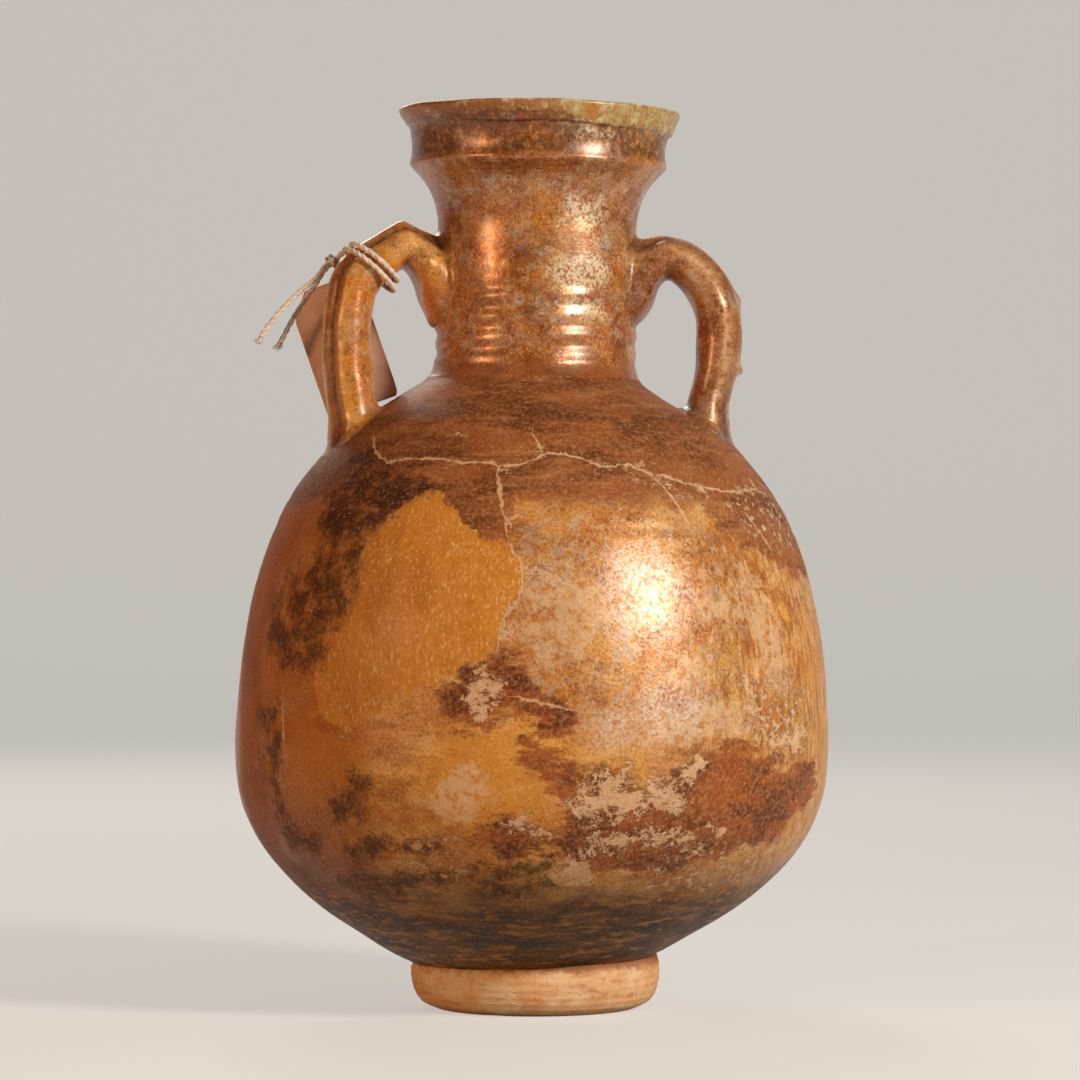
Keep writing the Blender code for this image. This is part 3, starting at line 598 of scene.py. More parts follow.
class Finish:
    """A material being layered up: its colour, roughness and height so far, and its patterns."""

    def __init__(self, name, colour, roughness, ior=1.5):
        self.material = bpy.data.materials.new(name)
        self.material.use_nodes = True
        self.tree = self.material.node_tree
        self.shader = self.tree.nodes["Principled BSDF"]
        self.shader.inputs["IOR"].default_value = ior
        coordinates = node(self.tree, "TexCoord")
        self.place = node(
            self.tree, "VectorMath", {0: coordinates.outputs["Object"], 1: (1000, 1000, 1000)},
            operation="MULTIPLY",
        ).outputs[0]
        self.colour = linear(colour)
        self.roughness = roughness
        self.metallic = 0.0
        self.height = 0.0

    def math(self, operation, *values, clamp=False):
        inputs = dict(enumerate(values))
        return node(self.tree, "Math", inputs, operation=operation, use_clamp=clamp).outputs[0]

    def ramp(self, value, low, high):
        """A soft step from 0 at low to 1 at high."""
        inputs = {"Value": value, "From Min": low, "From Max": high}
        return node(self.tree, "MapRange", inputs, interpolation_type="SMOOTHSTEP").outputs[0]

    def stretched(self, stretch):
        """The place on the piece in mm, squeezed so that a pattern on it draws out."""
        return node(self.tree, "VectorMath", {0: self.place, 1: stretch}, operation="MULTIPLY").outputs[0]

    def grain(self, size_mm, detail=3.0, stretch=None, roughness=0.55):
        """Cloudy noise whose clouds are about size_mm across."""
        inputs = {
            "Vector": self.stretched(stretch) if stretch else self.place, "Scale": 1 / size_mm,
            "Detail": detail, "Roughness": roughness,
        }
        return node(self.tree, "TexNoise", inputs, noise_dimensions="3D").outputs["Fac"]

    def swing(self, size_mm, reach, detail=3.0, stretch=None):
        """Cloudy noise that swings about as far as reach to either side of zero."""
        centred = self.math("SUBTRACT", self.grain(size_mm, detail, stretch, 0.6), 0.5)
        return self.math("MULTIPLY", centred, 5 * reach)

    def patchy(self, size_mm, low, high, detail=4.0, stretch=None, roughness=0.62):
        """A mask of clouds about size_mm across. The nearer low and high, the harder their edges."""
        return self.ramp(self.grain(size_mm, detail, stretch, roughness), low, high)

    def attribute(self, name):
        return node(self.tree, "Attribute", attribute_name=name).outputs["Fac"]

    def along(self, axis):
        """The place along one axis of the model, in mm."""
        return node(self.tree, "SeparateXYZ", {0: self.place}).outputs[axis]

    def away_from(self, spot_mm):
        """The distance from one spot of the model, in mm."""
        inputs = {0: self.place, 1: spot_mm}
        return node(self.tree, "VectorMath", inputs, operation="DISTANCE").outputs["Value"]

    def ragged(self, name, soft_mm, *wobbles, stretch=None):
        """A mark's mask, its edge broken up by noises that are given as size and reach in mm."""
        moved = self.attribute(name)
        for size_mm, reach_mm in wobbles:
            moved = self.math("ADD", moved, self.swing(size_mm, reach_mm, stretch=stretch))
        return self.ramp(moved, -soft_mm, soft_mm)

    def times(self, *shares):
        """Where every one of some masks is."""
        product = shares[0]
        for share in shares[1:]:
            product = self.math("MULTIPLY", product, share)
        return product

    def paint(self, share, colour, strength=1.0, clouds=None):
        """Lays a colour over what is there, by a mask, by clouds as patchy takes them, or by both."""
        if clouds:
            cloudy = self.patchy(*clouds)
            share = cloudy if share is None else self.times(share, cloudy)
        top = linear(colour) if isinstance(colour, str) else colour
        share = self.times(share, strength) if strength < 1 else share
        self.colour = node(
            self.tree, "Mix", {0: share, 6: self.colour, 7: top}, data_type="RGBA"
        ).outputs[2]

    def lay(self, *layers):
        """Paints several layers in turn, each given as a mask, a colour, a strength and clouds."""
        for layer in layers:
            self.paint(*layer)

    def scuff(self, share, roughness):
        """Moves the roughness to a value, by a mask."""
        self.roughness = node(self.tree, "Mix", {0: share, 2: self.roughness, 3: roughness}).outputs[0]

    def gild(self, share, metallic):
        """Moves how metallic the surface looks to a value, by a mask."""
        self.metallic = node(self.tree, "Mix", {0: share, 2: self.metallic, 3: metallic}).outputs[0]

    def raise_by(self, share, height_mm):
        self.height = self.math("MULTIPLY_ADD", share, height_mm, self.height)

    def done(self):
        links = {"Base Color": self.colour, "Roughness": self.roughness, "Metallic": self.metallic}
        for key, value in links.items():
            if isinstance(value, bpy.types.NodeSocket):
                self.tree.links.new(value, self.shader.inputs[key])
            else:
                self.shader.inputs[key].default_value = value
        bump = node(self.tree, "Bump", {"Height": self.height, "Distance": 0.001, "Strength": 1.0})
        self.tree.links.new(bump.outputs[0], self.shader.inputs["Normal"])
        return self.material


def lead_glaze(name, ground, rich, grain_share, lustre, gilding, coat):
    """The glaze under a piece's own marks. Lustre is how far its film of decay shows, by a mask."""
    glaze = Finish(name, ground, GLAZE_ROUGHNESS, GLAZE_IOR)
    glaze.shader.inputs["Coat Weight"].default_value = coat
    glaze.shader.inputs["Coat Roughness"].default_value = COAT_ROUGHNESS
    specks = glaze.grain(0.8, 3, roughness=0.65)
    glaze.lay(
        (None, rich, 1.0, (24, 0.40, 0.62, 3)),
        (None, MILK, 0.45, (11, 0.44, 0.66, 6, (0.7, 0.7, 1.0))),
        (None, BURNT, 0.6, (6, 0.48, 0.66, 6, (0.4, 0.4, 1.0))),
        (glaze.ramp(specks, 0.50, 0.68), SPECK, grain_share),
        (glaze.ramp(specks, 0.46, 0.32), CREAM, grain_share * 0.7),
        (glaze.ramp(glaze.grain(1.3, 2), 0.54, 0.68), SPARK, grain_share),
    )
    hue = glaze.math("ADD", glaze.grain(0.9, 3, roughness=0.65), glaze.grain(8, 3))
    film = node(glaze.tree, "ValToRGB", {0: glaze.ramp(hue, 0.78, 1.22)})
    while len(film.color_ramp.elements) < len(FILM):
        film.color_ramp.elements.new(0.5)
    for place, code in enumerate(FILM):
        film.color_ramp.elements[place].position = 0.1 + 0.8 * place / (len(FILM) - 1)
        film.color_ramp.elements[place].color = linear(code)
    decayed = lustre(glaze)
    glaze.lay(
        (decayed, film.outputs[0], 1.0, (3, 0.36, 0.62, 3)),
        (decayed, IRIS, 0.55, (6, 0.58, 0.68, 4)),
    )
    glaze.gild(decayed, gilding)
    glaze.scuff(glaze.patchy(2.5, 0.42, 0.70), 0.46)
    glaze.raise_by(specks, -0.08)
    glaze.raise_by(glaze.grain(2.8, 3), 0.11)
    return glaze


BAND = "#925028"
BAND_DEEP = "#542810"
BAND_WORN = "#BC8250"
RESTORED = "#D28A30"
RESTORED_DEEP = "#A85C14"
RESTORED_FLECK = "#F2D29C"
FLANK = "#A2580E"
PAINTED_SHADE_BROWN = "#6A3608"
OCHRE = "#D28E34"
SCORCH = "#38190A"
RUSSET = "#96481A"
PLUM = "#522818"
LOW_MOTTLE_AND_SHADE = "#1A0D05"
OLIVE = "#4A2C08"
BARE = "#E2BB94"
MILKY = "#DFB68C"
# Colour of the painted highlights on the belly
PAINTED_HIGHLIGHT = "#E2DEDA"
CRACK_FILL = "#DAB288"
INSIDE = "#6B3818"
SHOULDER_BAND_MM = (154, 161)
UNDERSIDE_MM = (51, 29)
LOW_FLANK_MM = (78, 44)
SHADED_LEFT_MM = (-34, -66)
RIGHT_SIDE_MM = (34, 66)
BODY_GRAIN = 0.3
BODY_LUSTRE = 0.65
BODY_GILDING = 0.24
BODY_COAT = 0.08
DECAYED_SPECULAR = 0.3

# The body's film of decay is laid in the lustre outline round the belly's highlight, partly as painted
# highlight sparkle
glaze = lead_glaze(
    "amber_lead_glaze_body", AMBER, GOLD, BODY_GRAIN,
    lambda made: made.times(made.ragged("lustre", 9, (14, 5), (3, 2)), BODY_LUSTRE),
    BODY_GILDING, BODY_COAT,
)
glaze.shader.inputs["Specular IOR Level"].default_value = DECAYED_SPECULAR
waves = glaze.math("ADD", glaze.swing(26, 4), glaze.swing(4, 1.8, 5, (0.4, 0.4, 1)))
wavy_height = glaze.math("ADD", glaze.attribute("upright"), waves)
across = glaze.along(0)
right_side = glaze.ramp(across, *RIGHT_SIDE_MM)
shaded_left = glaze.ramp(glaze.math("ADD", across, glaze.swing(12, 8)), *SHADED_LEFT_MM)
shaded_low_left = glaze.times(shaded_left, glaze.ramp(wavy_height, *LOW_FLANK_MM))
low = glaze.ramp(wavy_height, *UNDERSIDE_MM)
high = glaze.ramp(wavy_height, *SHOULDER_BAND_MM)
band = glaze.math("MAXIMUM", high, glaze.ragged("low_band", 1.6, (8, 3), (1.6, 1.2)))
flank = glaze.ragged("flank", 6, (8, 3), (1.5, 0.8))
russet = glaze.ragged("russet", 2.5, (9, 5), (2.4, 2.5), stretch=(0.6, 0.6, 1.4))
restored = glaze.ragged("restored", 0.7, (6, 1.5), (1.4, 0.7))
mottle = glaze.ragged("mottle", 3, (9, 4), (1.6, 2))
fine = glaze.patchy(1.3, 0.46, 0.62, 4)
glaze.lay(
    (glaze.ragged("ochre", 3, (9, 3), (2, 1)), OCHRE, 0.7),
    (right_side, BURNT, 0.6, (4, 0.46, 0.62, 6, (1.5, 1.5, 0.4))),
    (right_side, MILK, 0.7, (3, 0.52, 0.63, 6, (1.6, 1.6, 0.3))),
    # Pale patches; the first is partly painted light round the belly's highlight
    (glaze.ragged("pale", 2.6, (7, 4), (1.5, 1.4)), MILKY, 0.75, (3, 0.34, 0.56, 5)),
    # Painted highlight: a pale patch where the key lamp's highlight falls on the belly
    (glaze.ragged("pearl", 6, (9, 3), (1.2, 2.5)), PAINTED_HIGHLIGHT, 0.45, (1.2, 0.36, 0.60, 3)),
    # Darker on the left, on the flank and low on the left: painted shade on the side away from the key
    # lamp, over the glaze's own browns
    (shaded_left, RESTORED_DEEP, 0.6),
    (flank, FLANK, 0.85),
    (flank, PAINTED_SHADE_BROWN, 0.35, (16, 0.42, 0.66)),
    (shaded_low_left, PAINTED_SHADE_BROWN, 0.65),
    (russet, RUSSET, 0.9),
    (russet, PLUM, 0.85, (8, 0.41, 0.60, 7, (0.5, 0.5, 1.2), 0.70)),
    (glaze.times(russet, fine), BAND_WORN, 0.45),
    # Darker towards the bottom: the glaze's own dark olive mottle, and painted shade on the underside
    (low, OLIVE, 0.85),
    (low, PAINTED_SHADE_BROWN, 0.7, (8, 0.48, 0.62, 7, (0.3, 0.3, 1.3))),
    (low, LOW_MOTTLE_AND_SHADE, 0.92, (7, 0.42, 0.58, 7, (0.25, 0.25, 1.2), 0.72)),
    (low, OCHRE, 0.65, (2.4, 0.51, 0.64, 6, (0.3, 0.3, 1.5))),
    (band, BAND, 0.95),
    (band, BAND_DEEP, 0.8, (11, 0.42, 0.64, 6, (0.4, 0.4, 1.3))),
    # Painted shade on the left of the shoulder band
    (glaze.times(band, shaded_left), PAINTED_SHADE_BROWN, 0.8),
    (band, BAND_WORN, 0.6, (3, 0.48, 0.70, 6, (0.25, 0.25, 1.6), 0.7)),
    (glaze.times(band, fine), BAND_WORN, 0.35),
    (restored, RESTORED, 0.94),
    (restored, RESTORED_DEEP, 0.55, (12, 0.42, 0.70, 5, (1, 1, 0.6))),
    (restored, RESTORED_FLECK, 0.5, (1.3, 0.54, 0.68, 3, (1.5, 1.5, 0.6))),
    (restored, RESTORED_DEEP, 0.45, (1.6, 0.44, 0.34, 3)),
    (mottle, SCORCH, 0.82, (7, 0.34, 0.58, 7, None, 0.70)),
    (mottle, BAND_WORN, 0.5, (1.4, 0.58, 0.68, 4)),
    (None, SCORCH, 0.22, (0.8, 0.48, 0.66, 3)),
    (None, CREAM, 0.20, (1.0, 0.54, 0.70, 3)),
)

# Where the glaze is gone: chips of two sizes and strays, and a filled crack
scatter = glaze.patchy(2.6, 0.52, 0.57, 7, (0.8, 0.8, 1.0), 0.75)
flakes = glaze.times(glaze.ragged("flakes", 3, (9, 4), (2, 1.5)), scatter)
islands = glaze.patchy(3, 0.60, 0.52, 7, (0.6, 0.6, 1.3), 0.75)
chips = glaze.times(glaze.ragged("chips", 0.6, (4, 3), (1.2, 2), (0.5, 0.9)), islands)
strays = glaze.patchy(6, 0.66, 0.68, 7, (0.6, 0.6, 1.2), 0.74)
bare = glaze.math("MAXIMUM", glaze.math("MAXIMUM", chips, flakes), strays)
wandering = glaze.math("ADD", glaze.attribute("crack"), glaze.swing(2.4, 0.6))
spread = glaze.math("ADD", glaze.swing(4, 0.35), 0.30)
crack = glaze.ramp(glaze.math("SUBTRACT", glaze.math("ABSOLUTE", wandering), spread), 0.40, -0.25)
glaze.lay(
    (bare, BARE, 0.85),
    (bare, AMBER, 0.3, (3, 0.44, 0.60, 5)),
    (bare, RUSSET, 0.4, (0.8, 0.54, 0.66, 3)),
    (crack, CRACK_FILL, 0.85),
    (glaze.attribute("inside"), INSIDE),
)
for share, roughness in (
    (flank, 0.62), (mottle, 0.60), (band, 0.60), (restored, 0.50), (russet, 0.56), (low, 0.60),
    (bare, 0.85), (crack, 0.85),
):
    glaze.scuff(share, roughness)
for share, height_mm in (
    (bare, -0.16), (crack, -0.12), (restored, -0.08), (glaze.times(restored, glaze.grain(3.2, 3)), 0.18),
):
    glaze.raise_by(share, height_mm)
glazed_body.data.materials.append(glaze.done())

NECK_AMBER = "#9A5410"
NECK_RICH = "#BA7826"
NECK_RUSSET = "#7C3612"
# Colour of the painted highlights on the neck and in the collar
NECK_PAINTED_HIGHLIGHT = "#ECD9B4"
LIP_OCHRE = "#A4652A"
LIP_PALE = "#B9A566"
LIP_WORN = "#E0D2A6"
LIP_SPOT = "#C07418"
LIP_SPOT_MM = (18, -39, 276.5)
COLLAR_SHADE = "#59300F"
LIP_MM = (275.1, 276.1)
LIP_HANG_MM = 3.3
LIP_HANG_ACROSS_MM = (8, 20)
LIP_PALE_ACROSS_MM = (-10, 14)
LIP_EDGE_MM = (278.6, 279.6)
LIP_ROUGHNESS = 0.40
COLLAR_MM = (262.0, 264.5)
NECK_FOOT_MM = (203, 197)
PIT = "#140A05"
PIT_SPACING_MM = 7
PIT_DEPTH_MM = 0.3
NECK_GRAIN = 0.6
NECK_LUSTRE = 0.8
NECK_GILDING = 0.45
NECK_COAT = 0.5

# The neck's glaze is sounder and richer. Its lip was dipped again in a paler glaze that hangs down
# on the right, with one rusty spot
glaze = lead_glaze(
    "amber_lead_glaze_neck", NECK_AMBER, NECK_RICH, NECK_GRAIN,
    lambda made: made.times(made.patchy(15, 0.40, 0.60, 3), NECK_LUSTRE), NECK_GILDING, NECK_COAT,
)
height = glaze.attribute("upright")
across = glaze.along(0)
runs = glaze.math("ADD", glaze.swing(8, 1.6, 4, (1, 1, 0.4)), glaze.swing(1.4, 0.6))
hang = glaze.math("MULTIPLY_ADD", glaze.ramp(across, *LIP_HANG_ACROSS_MM), LIP_HANG_MM, runs)
lip = glaze.ramp(glaze.math("ADD", height, hang), *LIP_MM)
paler = glaze.ramp(glaze.math("ADD", across, glaze.swing(14, 8)), *LIP_PALE_ACROSS_MM)
off_spot = glaze.math("ADD", glaze.away_from(LIP_SPOT_MM), glaze.swing(2, 0.8))
edge = glaze.ramp(glaze.math("ADD", height, glaze.swing(2, 0.5)), *LIP_EDGE_MM)
pits = node(glaze.tree, "TexVoronoi", {"Vector": glaze.place, "Scale": 1 / PIT_SPACING_MM}, feature="F1")
pit = glaze.ramp(pits.outputs["Distance"], 0.055, 0.035)
glaze.lay(
    (None, NECK_RUSSET, 0.55, (7, 0.50, 0.66, 5, None, 0.7)),
    (glaze.ramp(height, *COLLAR_MM), COLLAR_SHADE, 0.75, (2.2, 0.30, 0.60, 4)),
    # Painted highlights: pale patches where the lamps' highlights fall on the neck and in the collar
    (glaze.ragged("pearl", 2.5, (6, 2.5), (1, 2)), NECK_PAINTED_HIGHLIGHT, 0.8, (1.1, 0.36, 0.56, 3)),
    (None, SPECK, 0.7, (0.9, 0.56, 0.68, 3)),
    (lip, LIP_OCHRE, 0.92),
    (glaze.times(lip, paler), LIP_PALE, 0.9),
    (lip, LIP_OCHRE, 0.7, (3, 0.42, 0.60, 6)),
    (lip, LIP_WORN, 0.6, (4, 0.52, 0.66, 5)),
    (glaze.ramp(off_spot, 3.6, 1.6), LIP_SPOT, 0.75),
    (lip, COLLAR_SHADE, 0.5, (1.1, 0.50, 0.66, 3)),
    (edge, LIP_WORN, 0.7),
    (glaze.ramp(height, *NECK_FOOT_MM), BAND, 0.7),
    (glaze.attribute("inside"), INSIDE),
    (pit, PIT),
)
glaze.raise_by(pit, -PIT_DEPTH_MM)
glaze.gild(lip, 0.0)
glaze.scuff(lip, LIP_ROUGHNESS)
glazed_neck.data.materials.append(glaze.done())


# Foot ring. A coil of buff clay turned and trimmed while leather hard and left bare: matt, porous,
# chipped along its lower edge, and scraped paler where it was fettled.
FOOT_OFFSET = 0.0011
FOOT_RADIUS = 0.0386
FOOT_WIDEST_HEIGHT = 0.0095
FOOT_REST_RADIUS = 0.0310
FOOT_WAIST_RADIUS = 0.0363
FOOT_WAIST_HEIGHT = 0.0145
FOOT_HOLE_RADIUS = 0.0235
FOOT_BULGE_SHARES = ((0.0, 0.0), (0.62, 0.24), (0.93, 0.62), (1.0, 1.0))
FOOT_WAIST_SHARES = ((0.45, 0.60), (1.0, 1.0))
FOOT_SEGMENTS = 480
FOOT_RINGS = 60
FOOT_INNER_RINGS = 16
FOOT_SUNK = 0.0008
FOOT_MOST_LIFT = 0.008
FOOT_REST_FADE = 0.003
FOOT_CHIP_DEPTH = 0.0005
FOOT_CHIP_HEIGHTS = (0.0036, 0.0006)
FOOT_DENT_DEPTH = 0.00022
FOOT_DENT_HEIGHT = 0.003
TRIM_DEPTH = 0.00007
TRIM_PITCH = 0.0016

foot_side = stations(FOOT_BULGE_SHARES, FOOT_REST_RADIUS, FOOT_RADIUS, 0, FOOT_WIDEST_HEIGHT)
foot_side += stations(
    FOOT_WAIST_SHARES, FOOT_RADIUS, FOOT_WAIST_RADIUS, FOOT_WIDEST_HEIGHT, FOOT_WAIST_HEIGHT
)
foot_outline = Curve(foot_side).spread(FOOT_RINGS)


def pot_underside(points):
    """The height of the settled body's skin over or under points of the foot."""
    x = points[..., 0] + BOTTOM_SLIP * 0.8
    radius = np.hypot(x, points[..., 1])
    low = body_outline[:BODY_RINGS // 2]
    return np.interp(radius, low[:, 0], low[:, 1]) - x * np.sin(BODY_LEAN)


def foot_relief(azimuth, height):
    """Trimming lines and dents, as a distance out of the foot's side."""
    lines = TRIM_DEPTH * np.sin(2 * np.pi * height / TRIM_PITCH + 0.7 * np.sin(3 * azimuth))
    dents = np.sin(4 * azimuth + 0.8) + 0.6 * np.sin(9 * azimuth + height / FOOT_DENT_HEIGHT)
    return lines + FOOT_DENT_DEPTH * dents


foot_azimuth = np.linspace(-np.pi, np.pi, FOOT_SEGMENTS, endpoint=False)[None, :]
foot_height = foot_outline[:, 1:]
stand = foot_relief(foot_azimuth, foot_height) * smooth(0, FOOT_REST_FADE, foot_height)
radius = foot_outline[:, :1] + stand
chip = smooth(0.55, 0.95, np.sin(foot_azimuth * 7 + 1.3) * np.sin(foot_azimuth * 4 + 0.2))
radius = radius - FOOT_CHIP_DEPTH * chip * smooth(*FOOT_CHIP_HEIGHTS, foot_height)
foot_x = radius * np.sin(foot_azimuth) + FOOT_OFFSET
upright = np.stack((foot_x, -radius * np.cos(foot_azimuth), foot_height + 0 * radius), axis=-1)
top = pot_underside(upright) + FOOT_SUNK
lift = np.clip(upright[..., 2] / FOOT_WAIST_HEIGHT, 0, 1) ** 2
upright[..., 2] = between(upright[..., 2], np.minimum(top, upright[..., 2] + FOOT_MOST_LIFT), lift)
hole = np.linspace(0, 1, FOOT_INNER_RINGS)[:, None]
inner_x = FOOT_HOLE_RADIUS * np.sin(foot_azimuth) + FOOT_OFFSET + 0 * hole
inner_y = -FOOT_HOLE_RADIUS * np.cos(foot_azimuth) + 0 * hole
inner_top = pot_underside(np.stack((inner_x, inner_y), axis=-1)) + FOOT_SUNK
inner = np.stack((inner_x, inner_y, inner_top * (1 - hole)), axis=-1)
foot_points = np.concatenate((upright, inner)).reshape(-1, 3)
foot_faces = ring_faces(FOOT_RINGS + 1 + FOOT_INNER_RINGS, FOOT_SEGMENTS, looped=True)
clay_foot = made_piece("clay_foot_ring", foot_points, foot_faces, "vase", ["foot_ring"])
clay_foot.data.set_sharp_from_angle(angle=np.radians(50))

CLAY = "#E9B07A"
CLAY_PALE = "#F1C596"
CLAY_TRIMMED = "#C8834E"
CLAY_DRY = "#F2CFA4"
CLAY_GRIT = "#93542C"
CLAY_DARK_TOP = "#9A5830"
CLAY_RUBBED = "#D9B070"
CLAY_SCRAPED = "#F8D9AE"
CLAY_ROUGHNESS = 0.9
DARK_TOP_MM = (12.8, 15.2)
RUBBED_MM = (2.2, 0.4)
SCRAPED_MIDDLE_MM = (-10.5, -36.5, 4.2)
SCRAPED_REACH_MM = (8, 6)

# Bare fired clay scatters light evenly, with grit and pores about a millimetre wide
clay = Finish("bare_buff_earthenware", CLAY, CLAY_ROUGHNESS)
height = clay.math("ADD", clay.along(2), clay.swing(3, 0.8))
off_scrape = clay.math("ADD", clay.away_from(SCRAPED_MIDDLE_MM), clay.swing(3, 2, stretch=(0.5, 0.5, 2)))
scraped = clay.ramp(off_scrape, *SCRAPED_REACH_MM)
clay.lay(
    (clay.ramp(clay.grain(7, 4), 0.42, 0.66), CLAY_PALE),
    (None, CLAY_TRIMMED, 0.7, (2.4, 0.50, 0.68, 5, (0.3, 0.3, 1))),
    (None, CLAY_DRY, 0.7, (9, 0.52, 0.66, 6, (0.5, 0.5, 1))),
    (None, CLAY_GRIT, 1.0, (1.1, 0.62, 0.68, 4, None, 0.7)),
    # Darker at the top of the foot, where it meets the body
    (clay.ramp(height, *DARK_TOP_MM), CLAY_DARK_TOP, 0.8),
    (clay.ramp(height, *RUBBED_MM), CLAY_RUBBED, 0.5),
    (scraped, CLAY_SCRAPED, 0.7),
)
clay.raise_by(clay.times(scraped, clay.grain(1.6, 4, (0.4, 0.4, 2))), 0.5)
clay.raise_by(clay.grain(0.7, 3), 0.12)
clay.raise_by(clay.ramp(clay.grain(1.5, 3, roughness=0.6), 0.66, 0.72), -0.35)
clay_foot.data.materials.append(clay.done())


# Handles. Each is a strap pulled from one lump of clay, with a groove down each edge from the
# thumb, pressed on under the mouth, bent over and smeared on to the shoulder at its lower end.
HANDLE_THICKNESS = 0.0142
HANDLE_WIDTH = 0.0194
HANDLE_ROOT_REACH = 0.026
GROOVE_DEPTH = 0.0011
GROOVE_ANGLE = np.radians(36)
GROOVE_SPREAD = np.radians(12)
TILT_SHARE = 0.09
LANDING_RINGS = 30
LEFT_AZIMUTH = np.radians(192)
LEFT_REACH = 0.0366
LEFT_RISE = 0.0703
RIGHT_AZIMUTH = np.radians(-4)
RIGHT_REACH = 0.0333
RIGHT_RISE = 0.0626
LEFT_HANDLE_SHARES = (
    (-0.131, 0.950, 2.10, 1.24), (0.000, 0.958, 2.00, 1.22), (0.090, 0.970, 1.62, 1.17),
    (0.160, 0.982, 1.24, 1.12), (0.235, 0.998, 1.08, 1.08), (0.333, 1.012, 1.02, 1.05),
    (0.437, 0.992, 0.98, 1.02), (0.568, 0.950, 0.98, 1.00), (0.735, 0.900, 1.02, 1.00),
    (0.839, 0.853, 1.05, 1.00), (0.924, 0.777, 1.04, 1.00), (0.964, 0.688, 1.03, 1.00),
    (0.997, 0.566, 1.05, 0.98), (1.000, 0.472, 1.06, 0.98), (0.967, 0.257, 1.08, 1.00),
    (0.937, 0.149, 1.12, 1.10), (0.945, 0.021, 1.28, 1.32), (0.962, -0.190, 1.45, 1.50),
)
RIGHT_HANDLE_SHARES = (
    (-0.159, 1.001, 1.95, 1.24), (0.024, 1.007, 1.86, 1.20), (0.156, 1.018, 1.50, 1.14),
    (0.231, 1.022, 1.16, 1.10), (0.315, 1.023, 1.01, 1.06), (0.429, 1.011, 0.96, 1.03),
    (0.571, 0.977, 0.97, 1.00), (0.735, 0.909, 0.98, 1.00), (0.880, 0.812, 1.00, 1.00),
    (0.977, 0.696, 1.01, 0.99), (1.008, 0.556, 0.99, 0.98), (0.998, 0.441, 0.97, 0.98),
    (0.976, 0.342, 0.94, 0.99), (0.922, 0.241, 0.90, 1.03), (0.895, 0.171, 0.92, 1.10),
    (0.907, 0.070, 1.06, 1.25), (0.982, -0.208, 1.42, 1.45),
)
HANDLE_SIDES = 96
HANDLE_STEPS = 220
SKIRT_STEPS = 14
SKIRT_SAMPLES = 160
SKIN_SAMPLES = 600
FILLET_HEIGHT = 0.0022
FILLET_REACH = 0.0030
FILLET_EASE = 0.00006
ROOT_SUNK = 0.0012
STRAP_WAVE = 0.00016
LEFT_SMEARS = (0.0015, 0.0020)
RIGHT_SMEARS = (0.0050, 0.0030)
LEFT_WORN = 0.0
RIGHT_WORN = 0.75


class HandlePath:
    """The run of one handle: its outer face's middle and its section's size, before settling."""

    def __init__(self, azimuth, reach, rise, shares, worn):
        self.worn = worn
        self.out = np.array((np.cos(azimuth), np.sin(azimuth), 0))
        self.across = np.array((-np.sin(azimuth), np.cos(azimuth), 0))
        coarse = pot_curve.spread(LANDING_RINGS, end=joint_at)[::-1]
        shoulder = coarse[:LANDING_RINGS // 2]
        landing = np.interp(NECK_RADIUS + reach * shares[-2][0], shoulder[:, 0], shoulder[:, 1])
        self.curve = Curve([
            (
                NECK_RADIUS + reach * out, landing + rise * up,
                HANDLE_THICKNESS / 2 * thick, HANDLE_WIDTH / 2 * wide,
            )
            for out, up, thick, wide in shares
        ])

    def frame(self, distance):
        """Middle, way along, way outwards, half thickness and half width at distances."""
        distance = np.atleast_1d(distance)
        radius, height, thick, wide = self.curve.at(distance).T
        reach = self.curve.length * TILT_SHARE
        near = self.curve.at(np.maximum(distance - reach, 0))
        far = self.curve.at(np.minimum(distance + reach, self.curve.length))
        run, climb = (far - near)[:, 0], (far - near)[:, 1]
        climb = climb * np.minimum(distance / HANDLE_ROOT_REACH, 1)
        size = np.hypot(run, climb)
        up = np.array((0, 0, 1))
        along = (np.outer(run, self.out) + np.outer(climb, up)) / size[:, None]
        outward = (np.outer(run, up) - np.outer(climb, self.out)) / size[:, None]
        middle = np.outer(radius, self.out) + np.outer(height, up) - outward * thick[:, None]
        return middle, along, outward, thick, wide

    def groove_share(self, distance):
        """How much of its grooves is left at distances, where glaze filled the middle of a worn one."""
        share = distance / self.curve.length
        return 1 - self.worn * smooth(0.06, 0.2, share) * smooth(0.92, 0.78, share)

    def skin(self, distance, angle):
        """Points on the strap at distances and section angles. Angle zero is the outer face."""
        middle, _, outward, thick, wide = self.frame(distance)
        groove = GROOVE_DEPTH * self.groove_share(distance)
        groove = groove * np.exp(-((np.abs(wrapped(angle)) - GROOVE_ANGLE) / GROOVE_SPREAD) ** 2)
        return (
            middle
            + outward * (np.cos(angle) * (thick - groove))[:, None]
            + self.across * (np.sin(angle) * (wide - groove))[:, None]
        )


dense_outline = np.vstack((pot_curve.spread(SKIN_SAMPLES), mouth_outline[1:MOUTH_RINGS // 3]))
dense_outward = outward_of(dense_outline)


def off_pot(points):
    """How far upright points stand off the pot's skin, and the skin's way out there."""
    radius = np.hypot(points[:, 0], points[:, 1])
    flat = np.column_stack((radius, points[:, 2]))
    nearest = np.array([np.argmin(np.sum((dense_outline - spot) ** 2, axis=1)) for spot in flat])
    outward = dense_outward[nearest]
    away = np.sum((flat - dense_outline[nearest]) * outward, axis=1)
    round_way = points[:, :2] / np.maximum(radius, 1e-9)[:, None]
    return away, np.column_stack((round_way * outward[:, :1], outward[:, 1]))


